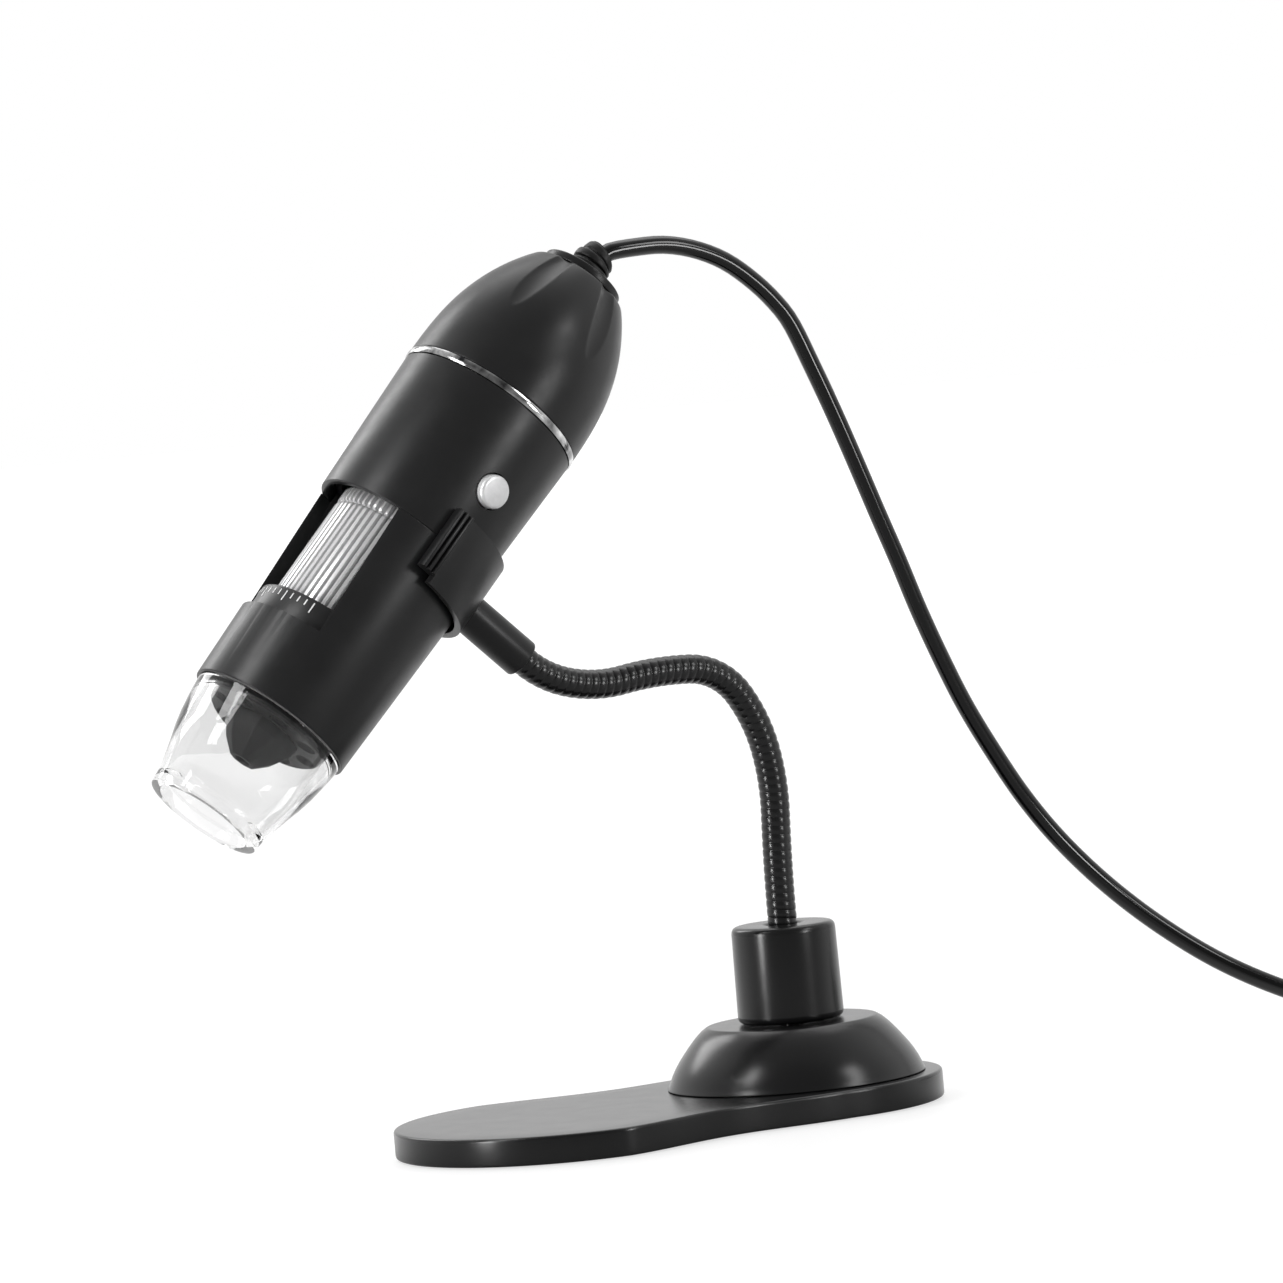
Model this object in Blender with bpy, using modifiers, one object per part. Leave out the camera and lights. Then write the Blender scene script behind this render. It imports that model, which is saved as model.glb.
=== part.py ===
"""USB digital microscope on a gooseneck stand, at real size in metres, +Z up.

The origin lies on the table under the post's axis. The base plate reaches out along -X, and the neck, the
clip and the microscope stand over it in the plane y = 0. Pieces of the microscope are placed along its own
axis: local z = 0 at the trim ring, +z towards the tail, -z towards the clear snout.
"""

import math

import bmesh
import bpy
import numpy as np
from mathutils import Matrix, Vector

MM = 0.001
GAP = 0.3 * MM  # seat and running clearance
OVERRUN = 2.0 * MM  # how far a cutter passes the faces that it cuts
EDGE = 0.3 * MM  # small edge breaks
MERGE = 0.00002

# Trim ring and tail
RING_RADIUS = 16.5 * MM
RING_WIDTH = 1.2 * MM
TAIL_LENGTH = 28.2 * MM
TAIL_ROOT_RADIUS = 16.35 * MM
TAIL_END_RADIUS = 8.3 * MM
TAIL_POWER = 1.85
TAIL_WALL = 2.4 * MM
TAIL_END_WALL = 2.2 * MM
TAIL_HEIGHT_SHARES = (0.98, 0.92, 0.84, 0.75, 0.65, 0.55, 0.44, 0.32, 0.18)
TAIL_INNER_SHARES = (0.44, 0.55, 0.65, 0.75, 0.84)
FLUTE_COUNT = 6
FLUTE_PHASE = math.radians(28.0)
FLUTE_RADIUS = 4.0 * MM
FLUTE_DEPTH = 1.1 * MM
FLUTE_START_SHARE = 0.34

# Cap and strain relief
CAP_RADIUS = 7.4 * MM
CAP_THICKNESS = 0.9 * MM
CAP_SPIGOT_RADIUS = 5.5 * MM
CAP_SPIGOT_LENGTH = 3.0 * MM
RELIEF_SHANK_RADIUS = 2.0 * MM
RELIEF_FOOT_RADIUS = 3.75 * MM
RELIEF_FOOT_LENGTH = 1.5 * MM
RELIEF_NECK_RADIUS = 2.3 * MM
RELIEF_NECK_LENGTH = 0.7 * MM
RELIEF_FIN_RADIUS = 3.6 * MM
RELIEF_TOP_FIN_RADIUS = 3.2 * MM
RELIEF_FIN_LENGTH = 1.1 * MM
RELIEF_TIP_LENGTH = 0.4 * MM
RELIEF_BEND = math.radians(32.0)

# Barrel
BARREL_ROOT_RADIUS = 16.3 * MM
BARREL_RIM_RADIUS = 14.35 * MM
BARREL_LENGTH = 65.5 * MM
BARREL_SPLIT = 27.0 * MM
UPPER_BORE = 14.3 * MM
SPIGOT_WALL = 1.3 * MM
TAIL_SPIGOT_LENGTH = 3.1 * MM
LOWER_SPIGOT_LENGTH = 5.65 * MM
RIM_DEPTH = 5.2 * MM
LAMP_STEP = BARREL_LENGTH - RIM_DEPTH
CHAMBER_LENGTH = 8.3 * MM
PARTITION_BOTTOM = LAMP_STEP - CHAMBER_LENGTH
PARTITION_LENGTH = 4.8 * MM
PARTITION_TOP = PARTITION_BOTTOM - PARTITION_LENGTH
PARTITION_BORE = 10.5 * MM
LAMP_BORE = 11.8 * MM
RIM_BORE = 12.6 * MM

# Window, focus wheel, scale band
WINDOW_HALF_WIDTH = 11.6 * MM
WINDOW_DEPTH_SHARE = 0.42
BAND_WIDTH = 4.5 * MM
BAND_THICKNESS = 0.5 * MM
BAND_FLOOR = 12.85 * MM
WHEEL_RADIUS = 11.8 * MM
WHEEL_RIDGES = 60
WHEEL_RIDGE_DEPTH = 0.45 * MM
CARRIAGE_RADIUS = 8.3 * MM
CARRIAGE_WALL = 1.8 * MM
CARRIAGE_INSET = 3.0 * MM
CARRIAGE_START = BARREL_SPLIT + CARRIAGE_INSET
CARRIAGE_TRAVEL = 2.0 * MM
CARRIAGE_LIP = 0.6 * MM
CARRIAGE_LIP_LENGTH = 1.4 * MM
LENS_THICKNESS = 4.0 * MM
LENS_EDGE = 1.6 * MM
LENS_SHOULDER_SHARES = (0.6, 0.3)

# Snap button, its switch and the boards
BUTTON_RISE = 11.8 * MM
BUTTON_PLACE = BARREL_SPLIT - BUTTON_RISE
BUTTON_RADIUS = 2.85 * MM
BUTTON_PROUD = 1.1 * MM
BUTTON_FLANGE_RADIUS = 3.6 * MM
BUTTON_FLANGE_OUT = 13.5 * MM
BUTTON_FLANGE_THICKNESS = 0.6 * MM
PLUNGER_RADIUS = 0.8 * MM
PLUNGER_LENGTH = 1.8 * MM
SWITCH_SIZE = 6.0 * MM
SWITCH_DEPTH = 2.0 * MM
BOARD_WIDTH = 19.0 * MM
BOARD_THICKNESS = 1.2 * MM
BOARD_PLACE = 9.4 * MM
SENSOR_SIZE = 8.0 * MM
SENSOR_DEPTH = 1.5 * MM

# Lamp, nose cone and snout
LAMP_BOARD_HOLE = 4.5 * MM
SHROUD_RADIUS = 10.9 * MM
SHROUD_BORE = 6.5 * MM
SHROUD_DEPTH = 4.5 * MM
LED_COUNT = 8
LED_RADIUS = 1.5 * MM
LED_RING_RADIUS = 8.7 * MM
LED_BODY = 1.9 * MM
NOSE_SIDES = 8
NOSE_FLANGE_RADIUS = 6.6 * MM
NOSE_LENGTH = 6.5 * MM
NOSE_TIP_RADIUS = 2.4 * MM
NOSE_TIP_BORE = 1.5 * MM
NOSE_BORE = 4.0 * MM
NOSE_SHARES = ((0.0, 1.0), (0.25, 0.955), (0.6, 0.74))
SNOUT_RADIUS = 13.85 * MM
SNOUT_LENGTH = 19.2 * MM
SNOUT_WALL = 1.5 * MM
SNOUT_SPIGOT_WALL = 1.1 * MM
SNOUT_SPIGOT_LENGTH = 2.3 * MM
SNOUT_LIP_RADIUS = 10.2 * MM
SNOUT_LIP_LENGTH = 2.6 * MM
SNOUT_MOUTH_RADIUS = 8.3 * MM
SNOUT_MOUTH_LENGTH = 2.0 * MM
SNOUT_WIDTH_SHARES = ((0.0, 1.0), (0.4, 0.76), (0.7, 0.4), (1.0, 0.06))

# Clip and arm sleeve
CLIP_BORE = 16.03 * MM
CLIP_THICKNESS = 1.2 * MM
CLIP_TOP = 21.6 * MM
CLIP_WIDTH = 13.0 * MM
CLIP_LIP_HEIGHT = 1.2 * MM
CLIP_WRAP = math.radians(92.5)
CLIP_STEPS = 36
CLIP_LIP_CUT = 1.4 * MM
CLIP_LIP_SHARES = ((0.895, 0.0), (0.91, 0.8), (0.925, 1.0), (0.94, 0.6), (0.955, 0.6), (0.97, 1.0), (0.985, 0.9),
                   (1.0, 0.35))
SCOPE_TWIST = math.radians(10.8)
SLEEVE_RADIUS = 3.375 * MM
SLEEVE_PLACE = 29.0 * MM
SLEEVE_LENGTH = 13.0 * MM
SLEEVE_BORE_DEPTH = 8.0 * MM
PEG_RADIUS = 2.0 * MM
PEG_LENGTH = 2.6 * MM

# Gooseneck, from the post to the sleeve: its length, the share of each stretch and the turn of each stretch
NECK_LENGTH = 83.7 * MM
NECK_STRETCH_SHARES = (0.2241, 0.1302, 0.1299, 0.1298, 0.1509, 0.1297, 0.1054)
NECK_TURNS = (-3.3, 14.8, 22.2, 52.3, 12.2, -25.2, -26.7)
NECK_CREST = 2.38 * MM
NECK_VALLEY = 2.1 * MM
NECK_RIB = 1.43 * MM
NECK_SPLIT = 0.9 * MM
NECK_NUB = 0.6 * MM
NECK_STUB = 7.0 * MM

# Post, dome, weight, plate, pad
PAD_THICKNESS = 1.2 * MM
PAD_INSET = 3.0 * MM
PAD_PROUD = 0.2 * MM
PLATE_TOP = 4.93 * MM
PLATE_NEAR_RADIUS = 24.8 * MM
PLATE_FAR_RADIUS = 29.0 * MM
PLATE_REACH = 44.2 * MM
PLATE_WAIST_SHARE = 0.118
PLATE_END_STEPS = 14
PLATE_SIDE_STEPS = 8
PLATE_EDGE = 0.5 * MM
DOME_RADIUS = 22.1 * MM
DOME_TOP_RADIUS = 14.45 * MM
DOME_TOP = 15.1 * MM
DOME_WALL = 2.2 * MM
DOME_INNER_SHARES = (0.3, 1.6)
DOME_SHARES = ((0.0, 1.0), (0.43, 0.70), (0.66, 0.475), (0.86, 0.225), (0.94, 0.055), (1.0, 0.0))
POST_RADIUS = 9.05 * MM
POST_TOP_RADIUS = 8.85 * MM
POST_TOP = 31.7 * MM
POST_ROUNDING = 1.3 * MM
POST_ROUNDING_SHARES = (0.33, 0.66)
POST_STUB_RADIUS = 6.0 * MM
WEIGHT_RADIUS = 16.0 * MM
WEIGHT_HEIGHT = 6.2 * MM
SCREW_RADIUS = 1.9 * MM
SCREW_HEAD_RADIUS = 4.0 * MM
SCREW_HEAD = 1.6 * MM
SCREW_LENGTH = 15.0 * MM

# Cable, its coil and its plug
CABLE = 3.1 * MM
CABLE_STEP = 2.3 * CABLE
CABLE_FINE_STEPS = 20
LEAD_GAP = 0.35 * MM
LEAD_ROUTE = tuple(Vector(point) * MM for point in (
    (-16.1, 0, 148.15), (-10.8, 0, 148.1), (-5.2, 0, 146.9), (0.5, 0, 144.4), (5.9, 0, 140.3), (9.4, 0, 136.7),
    (11.75, 0, 133.5), (15.54, 0, 125.0), (19.06, 0, 116.4), (22.29, 0, 107.9), (25.43, 0, 99.4),
    (28.69, 0, 90.8), (31.75, 0, 82.2), (35.22, 0, 73.6), (39.19, 0, 64.8), (43.9, -0.2, 56.1),
    (49.0, -0.6, 47.6), (54.6, -1.8, 39.6), (61.8, -4.2, 31.0), (70.0, -7.8, 22.8), (79.0, -12.6, 15.4),
    (89.0, -18.2, 9.4), (100.0, -23.2, 4.9), (111.0, -26.0, 2.6), (123.0, -26.6, 1.65)))
COIL_PLACE = 140.0 * MM
COIL_CENTRE = Vector((COIL_PLACE, 0, 0))
COIL_INNER = 10.2 * MM
COIL_PITCH = 4.1 * MM
COIL_LAYER = CABLE + 0.5 * MM
COIL_LIFT = 0.02 * MM
COIL_TURNS = 4.0
COIL_CLIMB_TURNS = 0.5
COIL_TOP_TURNS = 3.5
COIL_POINTS = 24
COIL_END_STEPS = 5
COIL_LEVEL_SHARE = 0.4
PLUG_PLACE = 33.0 * MM
PLUG_LENGTH = 20.0 * MM
PLUG_WIDTH = 15.4 * MM
PLUG_HEIGHT = 7.8 * MM
PLUG_SOCKET = 2.0 * MM
SHELL_LENGTH = 21.0 * MM
SHELL_WIDTH = 12.0 * MM
SHELL_HEIGHT = 4.5 * MM
SHELL_WALL = 0.35 * MM
TONGUE_HEIGHT = 1.9 * MM
TONGUE_SHORT = 0.6 * MM

# Roundness of turned pieces
FINE_SIDES = 40
MIDDLE_SIDES = 28
ROUND_SIDES = 24
COARSE_SIDES = 16

# Colours: base colour, roughness, metallic, transmission
LOOKS = {
    "body_black": ((0.018, 0.018, 0.020, 1), 0.42, 0.0, 0.0),
    "stand_black": ((0.015, 0.015, 0.016, 1), 0.34, 0.0, 0.0),
    "rubber_black": ((0.012, 0.012, 0.013, 1), 0.55, 0.0, 0.0),
    "cable_black": ((0.010, 0.010, 0.011, 1), 0.32, 0.0, 0.0),
    "neck_black": ((0.020, 0.020, 0.022, 1), 0.38, 0.0, 0.0),
    "chrome": ((0.85, 0.86, 0.88, 1), 0.08, 1.0, 0.0),
    "aluminium": ((0.72, 0.73, 0.75, 1), 0.30, 1.0, 0.0),
    "steel": ((0.55, 0.56, 0.58, 1), 0.35, 1.0, 0.0),
    "iron": ((0.16, 0.16, 0.17, 1), 0.60, 0.9, 0.0),
    "clear": ((0.96, 0.97, 0.98, 1), 0.04, 0.0, 1.0),
    "lamp": ((0.95, 0.95, 0.90, 1), 0.15, 0.0, 0.3),
    "board_green": ((0.02, 0.10, 0.05, 1), 0.45, 0.0, 0.0),
    "chip_grey": ((0.05, 0.05, 0.06, 1), 0.30, 0.0, 0.0),
}


def clear_scene():
    for thing in list(bpy.data.objects):
        bpy.data.objects.remove(thing, do_unlink=True)


def collection(name):
    group = bpy.data.collections.new(name)
    bpy.context.scene.collection.children.link(group)
    return group


def look(name):
    found = bpy.data.materials.get(name)
    if found:
        return found
    colour, rough, metal, clear = LOOKS[name]
    made = bpy.data.materials.new(name)
    made.use_nodes = True
    shader = made.node_tree.nodes["Principled BSDF"]
    shader.inputs["Base Color"].default_value = colour
    shader.inputs["Roughness"].default_value = rough
    shader.inputs["Metallic"].default_value = metal
    shader.inputs["Transmission Weight"].default_value = clear
    return made


def cutter(thing):
    for group in list(thing.users_collection):
        group.objects.unlink(thing)
    CUTTERS.objects.link(thing)
    thing.hide_render = True
    thing.display_type = "WIRE"
    return thing


def place(thing, parent=None, at=(0, 0, 0), turn=(0, 0, 0)):
    thing.parent = parent
    thing.location = at
    thing.rotation_euler = turn
    return thing


def new_object(name, mesh, material):
    thing = bpy.data.objects.new(name, mesh)
    mesh.materials.append(look(material))
    PARTS.objects.link(thing)
    return thing


def smooth(thing):
    for face in thing.data.polygons:
        face.use_smooth = True
    thing.data.set_sharp_from_angle(angle=math.radians(35))


def cut(thing, tool, how="DIFFERENCE"):
    change = thing.modifiers.new(tool.name, "BOOLEAN")
    change.operation = how
    change.object = tool
    change.solver = "EXACT"


def turned(name, outline, material, steps=MIDDLE_SIDES):
    """A solid of revolution about z. The outline is (radius, z) pairs, down the outer side, top to bottom."""
    mesh = bpy.data.meshes.new(name)
    shape = bmesh.new()
    corners = [shape.verts.new((radius, 0, height)) for radius, height in outline]
    for one, two in zip(corners, corners[1:]):
        shape.edges.new((one, two))
    if outline[0][0] > 0:
        shape.edges.new((corners[-1], corners[0]))
    shape.to_mesh(mesh)
    shape.free()
    thing = new_object(name, mesh, material)
    screw = thing.modifiers.new("turn", "SCREW")
    screw.axis = "Z"
    screw.steps = steps
    screw.render_steps = steps
    screw.use_merge_vertices = True
    screw.merge_threshold = MERGE
    screw.use_smooth_shade = True
    return thing


def tube(name, outer, inner, top, bottom, material, steps=MIDDLE_SIDES):
    outline = [(inner, top), (outer, top), (outer, bottom), (inner, bottom)]
    return turned(name, outline, material, steps)


def rod(name, radius, start, end, material, steps=COARSE_SIDES):
    """A plain cylinder along z."""
    mesh = bpy.data.meshes.new(name)
    shape = bmesh.new()
    middle = Matrix.Translation((0, 0, (start + end) / 2))
    bmesh.ops.create_cone(shape, cap_ends=True, segments=steps, radius1=radius, radius2=radius,
                          depth=abs(end - start), matrix=middle)
    shape.to_mesh(mesh)
    shape.free()
    return new_object(name, mesh, material)


def block(name, size, centre, material, bevel=0):
    mesh = bpy.data.meshes.new(name)
    shape = bmesh.new()
    bmesh.ops.create_cube(shape, size=1, matrix=Matrix.Translation(centre) @ Matrix.Diagonal((*size, 1)))
    shape.to_mesh(mesh)
    shape.free()
    thing = new_object(name, mesh, material)
    if bevel:
        rounding = thing.modifiers.new("edges", "BEVEL")
        rounding.width = bevel
        rounding.segments = 2
    return thing


def meshed(line, name, material):
    """Turns a curve object into a welded mesh object."""
    bpy.context.view_layer.update()
    found = line.evaluated_get(bpy.context.evaluated_depsgraph_get())
    mesh = bpy.data.meshes.new_from_object(found)
    shape = bmesh.new()
    shape.from_mesh(mesh)
    bmesh.ops.remove_doubles(shape, verts=shape.verts, dist=MERGE)
    bmesh.ops.recalc_face_normals(shape, faces=shape.faces)
    shape.to_mesh(mesh)
    shape.free()
    mesh.name = name
    mesh.materials.clear()
    place_of_line = line.matrix_world.copy()
    bpy.data.objects.remove(line, do_unlink=True)
    thing = new_object(name, mesh, material)
    thing.matrix_world = place_of_line
    return thing


def slab(name, outlines, low, high, material):
    """A flat outline, with any holes, from one height to another."""
    line = bpy.data.curves.new(name, "CURVE")
    line.dimensions = "2D"
    line.fill_mode = "BOTH"
    line.extrude = (high - low) / 2
    for outline in outlines:
        spline = line.splines.new("POLY")
        spline.points.add(len(outline) - 1)
        for point, (x, y) in zip(spline.points, outline):
            point.co = (x, y, 0, 1)
        spline.use_cyclic_u = True
    thing = bpy.data.objects.new(name, line)
    PARTS.objects.link(thing)
    thing.location = (0, 0, (high + low) / 2)
    return meshed(thing, name, material)


def swept(name, points, radii, material, resolution=2):
    """A tube along points, with a radius at each."""
    line = bpy.data.curves.new(name, "CURVE")
    line.dimensions = "3D"
    line.bevel_depth = 1.0
    line.bevel_resolution = resolution
    line.use_fill_caps = True
    spline = line.splines.new("POLY")
    spline.points.add(len(points) - 1)
    for point, at, radius in zip(spline.points, points, radii):
        point.co = (*at, 1)
        point.radius = radius
    line.materials.append(look(material))
    thing = bpy.data.objects.new(name, line)
    PARTS.objects.link(thing)
    return thing


def circle(radius, count):
    turns = [math.tau * k / count for k in range(count)]
    return [(radius * math.cos(turn), radius * math.sin(turn)) for turn in turns]


# Neck

def arc_point(length, turn, along):
    """Place and heading on a stretch that leaves along +z and turns towards -x."""
    angle = turn * along / length
    if abs(turn) < math.radians(0.01):
        return Vector((0, 0, along)), angle
    bend = length / turn
    return Vector((-bend * (1 - math.cos(angle)), 0, bend * math.sin(angle))), angle


def stretch(index, parent):
    """One rigid stretch of the gooseneck, and the empty at its far end."""
    length = NECK_LENGTH * NECK_STRETCH_SHARES[index]
    turn = math.radians(NECK_TURNS[index])
    first = index == 0
    last = index == len(NECK_TURNS) - 1
    start = 0 if first else NECK_SPLIT / 2
    end = length if last else length - NECK_SPLIT / 2
    ribs = round((end - start) / NECK_RIB)
    pitch = (end - start) / ribs
    stations = []
    if first:
        stations += [(-NECK_STUB, NECK_CREST), (-pitch / 2, NECK_CREST)]
    else:
        stations += [(GAP / 2, NECK_NUB), (start - MERGE, NECK_NUB)]
    stations.append((start, NECK_VALLEY))
    for rib in range(ribs):
        stations.append((start + (rib + 0.5) * pitch, NECK_CREST))
        stations.append((start + (rib + 1) * pitch, NECK_VALLEY))
    if last:
        stations += [(end + pitch / 2, NECK_CREST), (end + NECK_STUB, NECK_CREST)]
    else:
        stations += [(end + MERGE, NECK_NUB), (length - GAP / 2, NECK_NUB)]
    points = []
    for along, radius in stations:
        if along < 0:
            points.append(Vector((0, 0, along)))
        elif along > length:
            tip, angle = arc_point(length, turn, length)
            points.append(tip + Vector((-math.sin(angle), 0, math.cos(angle))) * (along - length))
        else:
            points.append(arc_point(length, turn, along)[0])
    line = swept(f"neck_{index + 1}", points, [radius for _, radius in stations], "neck_black")
    place(line, parent)
    tip, angle = arc_point(length, turn, length)
    joint = bpy.data.objects.new(f"neck_end_{index + 1}", None)
    PARTS.objects.link(joint)
    return place(joint, parent, tip, (0, -angle, 0))


def gooseneck():
    root = bpy.data.objects.new("neck_root", None)
    PARTS.objects.link(root)
    frame = place(root, None, (0, 0, POST_TOP))
    for index in range(len(NECK_TURNS)):
        frame = stretch(index, frame)
    return frame


# Stand

def plate_outline(inset):
    """Two round ends joined by straight sides that are drawn in slightly between them."""
    near = PLATE_NEAR_RADIUS - inset
    far = PLATE_FAR_RADIUS - inset
    touch = math.acos((near - far) / PLATE_REACH)
    points = []
    for k in range(2 * PLATE_END_STEPS + 1):
        angle = -touch + touch * k / PLATE_END_STEPS
        points.append((near * math.cos(angle), near * math.sin(angle)))
    low_near = (near * math.cos(touch), near * math.sin(touch))
    low_far = (far * math.cos(touch) - PLATE_REACH, far * math.sin(touch))
    for k in range(1, PLATE_SIDE_STEPS):
        share = k / PLATE_SIDE_STEPS
        x = low_near[0] + (low_far[0] - low_near[0]) * share
        y = low_near[1] + (low_far[1] - low_near[1]) * share
        points.append((x, y * (1 - PLATE_WAIST_SHARE * math.sin(math.pi * share) ** 2)))
    for k in range(2 * PLATE_END_STEPS + 1):
        angle = touch + (math.pi - touch) * k / PLATE_END_STEPS
        points.append((far * math.cos(angle) - PLATE_REACH, far * math.sin(angle)))
    for k in range(1, PLATE_SIDE_STEPS):
        share = 1 - k / PLATE_SIDE_STEPS
        x = low_near[0] + (low_far[0] - low_near[0]) * share
        y = low_near[1] + (low_far[1] - low_near[1]) * share
        points.append((x, -y * (1 - PLATE_WAIST_SHARE * math.sin(math.pi * share) ** 2)))
    return points


def base_plate():
    thing = slab("base_plate", [plate_outline(0)], PAD_PROUD, PLATE_TOP, "stand_black")
    rounding = thing.modifiers.new("edges", "BEVEL")
    rounding.width = PLATE_EDGE
    rounding.segments = 2
    rounding.limit_method = "ANGLE"
    rounding.angle_limit = math.radians(60)
    recess = slab("pad_recess", [plate_outline(PAD_INSET - GAP)], PAD_PROUD - OVERRUN, PAD_THICKNESS + GAP,
                  "stand_black")
    cut(thing, cutter(recess))
    head_room = PAD_THICKNESS + GAP + SCREW_HEAD + 2 * GAP
    sink = rod("screw_sink", SCREW_HEAD_RADIUS + GAP, PAD_THICKNESS, head_room, "steel", MIDDLE_SIDES)
    cut(thing, cutter(sink))
    hole = rod("screw_hole_plate", SCREW_RADIUS + GAP, PAD_THICKNESS, PLATE_TOP + OVERRUN, "steel")
    cut(thing, cutter(hole))
    return thing


def foot_pad():
    return slab("foot_pad", [plate_outline(PAD_INSET)], 0, PAD_THICKNESS, "rubber_black")


def base_dome():
    low = PLATE_TOP + GAP
    rise = DOME_TOP - low
    spread = DOME_RADIUS - DOME_TOP_RADIUS
    hole = POST_STUB_RADIUS + GAP
    outline = [(hole, DOME_TOP)]
    outline += [(DOME_TOP_RADIUS + spread * share, DOME_TOP - rise * (1 - high)) for share, high in DOME_SHARES]
    wide, deep = DOME_INNER_SHARES
    outline += [(DOME_RADIUS - DOME_WALL, low), (DOME_TOP_RADIUS + spread * wide, DOME_TOP - DOME_WALL * deep),
                (DOME_TOP_RADIUS - DOME_WALL, DOME_TOP - DOME_WALL), (hole, DOME_TOP - DOME_WALL)]
    return turned("base_dome", outline, "stand_black", FINE_SIDES)


def base_weight():
    low = PLATE_TOP + GAP
    return tube("base_weight", WEIGHT_RADIUS, SCREW_RADIUS + GAP, low + WEIGHT_HEIGHT, low, "iron")


def base_post():
    foot = DOME_TOP + GAP
    stub_end = PLATE_TOP + GAP + WEIGHT_HEIGHT + GAP
    hole = SCREW_RADIUS + GAP
    hole_top = PAD_THICKNESS + GAP + SCREW_HEAD + SCREW_LENGTH + GAP
    bore = NECK_CREST + GAP
    bore_end = POST_TOP - NECK_STUB - GAP
    outline = [(0, bore_end), (bore, bore_end), (bore, POST_TOP), (POST_TOP_RADIUS - POST_ROUNDING, POST_TOP)]
    for share in POST_ROUNDING_SHARES:
        angle = share * math.pi / 2
        outline.append((POST_TOP_RADIUS - POST_ROUNDING * (1 - math.sin(angle)),
                        POST_TOP - POST_ROUNDING * (1 - math.cos(angle))))
    outline += [(POST_TOP_RADIUS, POST_TOP - POST_ROUNDING), (POST_RADIUS, foot), (POST_STUB_RADIUS, foot),
                (POST_STUB_RADIUS, stub_end), (hole, stub_end), (hole, hole_top), (0, hole_top)]
    return turned("base_post", outline, "stand_black", FINE_SIDES)


def base_screw():
    low = PAD_THICKNESS + GAP
    bearing = low + SCREW_HEAD
    outline = [(0, bearing + SCREW_LENGTH), (SCREW_RADIUS, bearing + SCREW_LENGTH), (SCREW_RADIUS, bearing),
               (SCREW_HEAD_RADIUS, bearing), (SCREW_HEAD_RADIUS, low), (0, low)]
    return turned("base_screw", outline, "steel", COARSE_SIDES)


# Clip

def clip_outline():
    """An open ring about z with its back on +x and a ridged lip at each end."""
    outer = CLIP_BORE + CLIP_THICKNESS
    first = CLIP_WRAP * CLIP_LIP_SHARES[0][0]
    points = []
    for share, high in reversed(CLIP_LIP_SHARES):
        points.append((-share * CLIP_WRAP, outer + high * CLIP_LIP_HEIGHT))
    for k in range(1, CLIP_STEPS):
        points.append((-first + 2 * first * k / CLIP_STEPS, outer))
    for share, high in CLIP_LIP_SHARES:
        points.append((share * CLIP_WRAP, outer + high * CLIP_LIP_HEIGHT))
    for k in range(CLIP_STEPS + 1):
        points.append((CLIP_WRAP - 2 * CLIP_WRAP * k / CLIP_STEPS, CLIP_BORE))
    return [(radius * math.cos(angle), radius * math.sin(angle)) for angle, radius in points]


def holder_clip(axis):
    thing = slab("holder_clip", [clip_outline()], -CLIP_TOP - CLIP_WIDTH, -CLIP_TOP, "body_black")
    place(thing, axis, thing.location)
    root = CLIP_BORE + CLIP_THICKNESS / 2
    peg = rod("clip_peg", PEG_RADIUS, root, CLIP_BORE + CLIP_THICKNESS + PEG_LENGTH, "body_black")
    place(cutter(peg), axis, (0, 0, -SLEEVE_PLACE), (0, math.pi / 2, 0))
    cut(thing, peg, "UNION")
    depth = 2 * (CLIP_BORE + CLIP_THICKNESS + CLIP_LIP_HEIGHT)
    start = (CLIP_BORE + CLIP_THICKNESS) * math.cos(CLIP_WRAP * CLIP_LIP_SHARES[0][0])
    trim = block("lip_trim", (CLIP_BORE, depth + OVERRUN, CLIP_LIP_CUT + OVERRUN),
                 (start - CLIP_BORE / 2, 0, -CLIP_TOP - CLIP_WIDTH + (CLIP_LIP_CUT - OVERRUN) / 2), "body_black")
    cut(thing, place(cutter(trim), axis))
    return thing


def arm_sleeve(axis):
    start = CLIP_BORE + CLIP_THICKNESS + GAP
    end = start + SLEEVE_LENGTH
    peg_bore = PEG_RADIUS + GAP
    peg_end = start + PEG_LENGTH
    bore = NECK_CREST + GAP
    outline = [(0, end - SLEEVE_BORE_DEPTH), (bore, end - SLEEVE_BORE_DEPTH), (bore, end),
               (SLEEVE_RADIUS - EDGE, end), (SLEEVE_RADIUS, end - EDGE), (SLEEVE_RADIUS, start), (peg_bore, start),
               (peg_bore, peg_end), (0, peg_end)]
    thing = turned("arm_sleeve", outline, "body_black", MIDDLE_SIDES)
    return place(thing, axis, (0, 0, -SLEEVE_PLACE), (0, math.pi / 2, 0))


# Microscope

def tail_radius(height):
    fall = TAIL_ROOT_RADIUS - TAIL_END_RADIUS
    return TAIL_ROOT_RADIUS - fall * (height / TAIL_LENGTH) ** TAIL_POWER


def barrel_radius(depth):
    return BARREL_ROOT_RADIUS - (BARREL_ROOT_RADIUS - BARREL_RIM_RADIUS) * depth / BARREL_LENGTH


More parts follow.
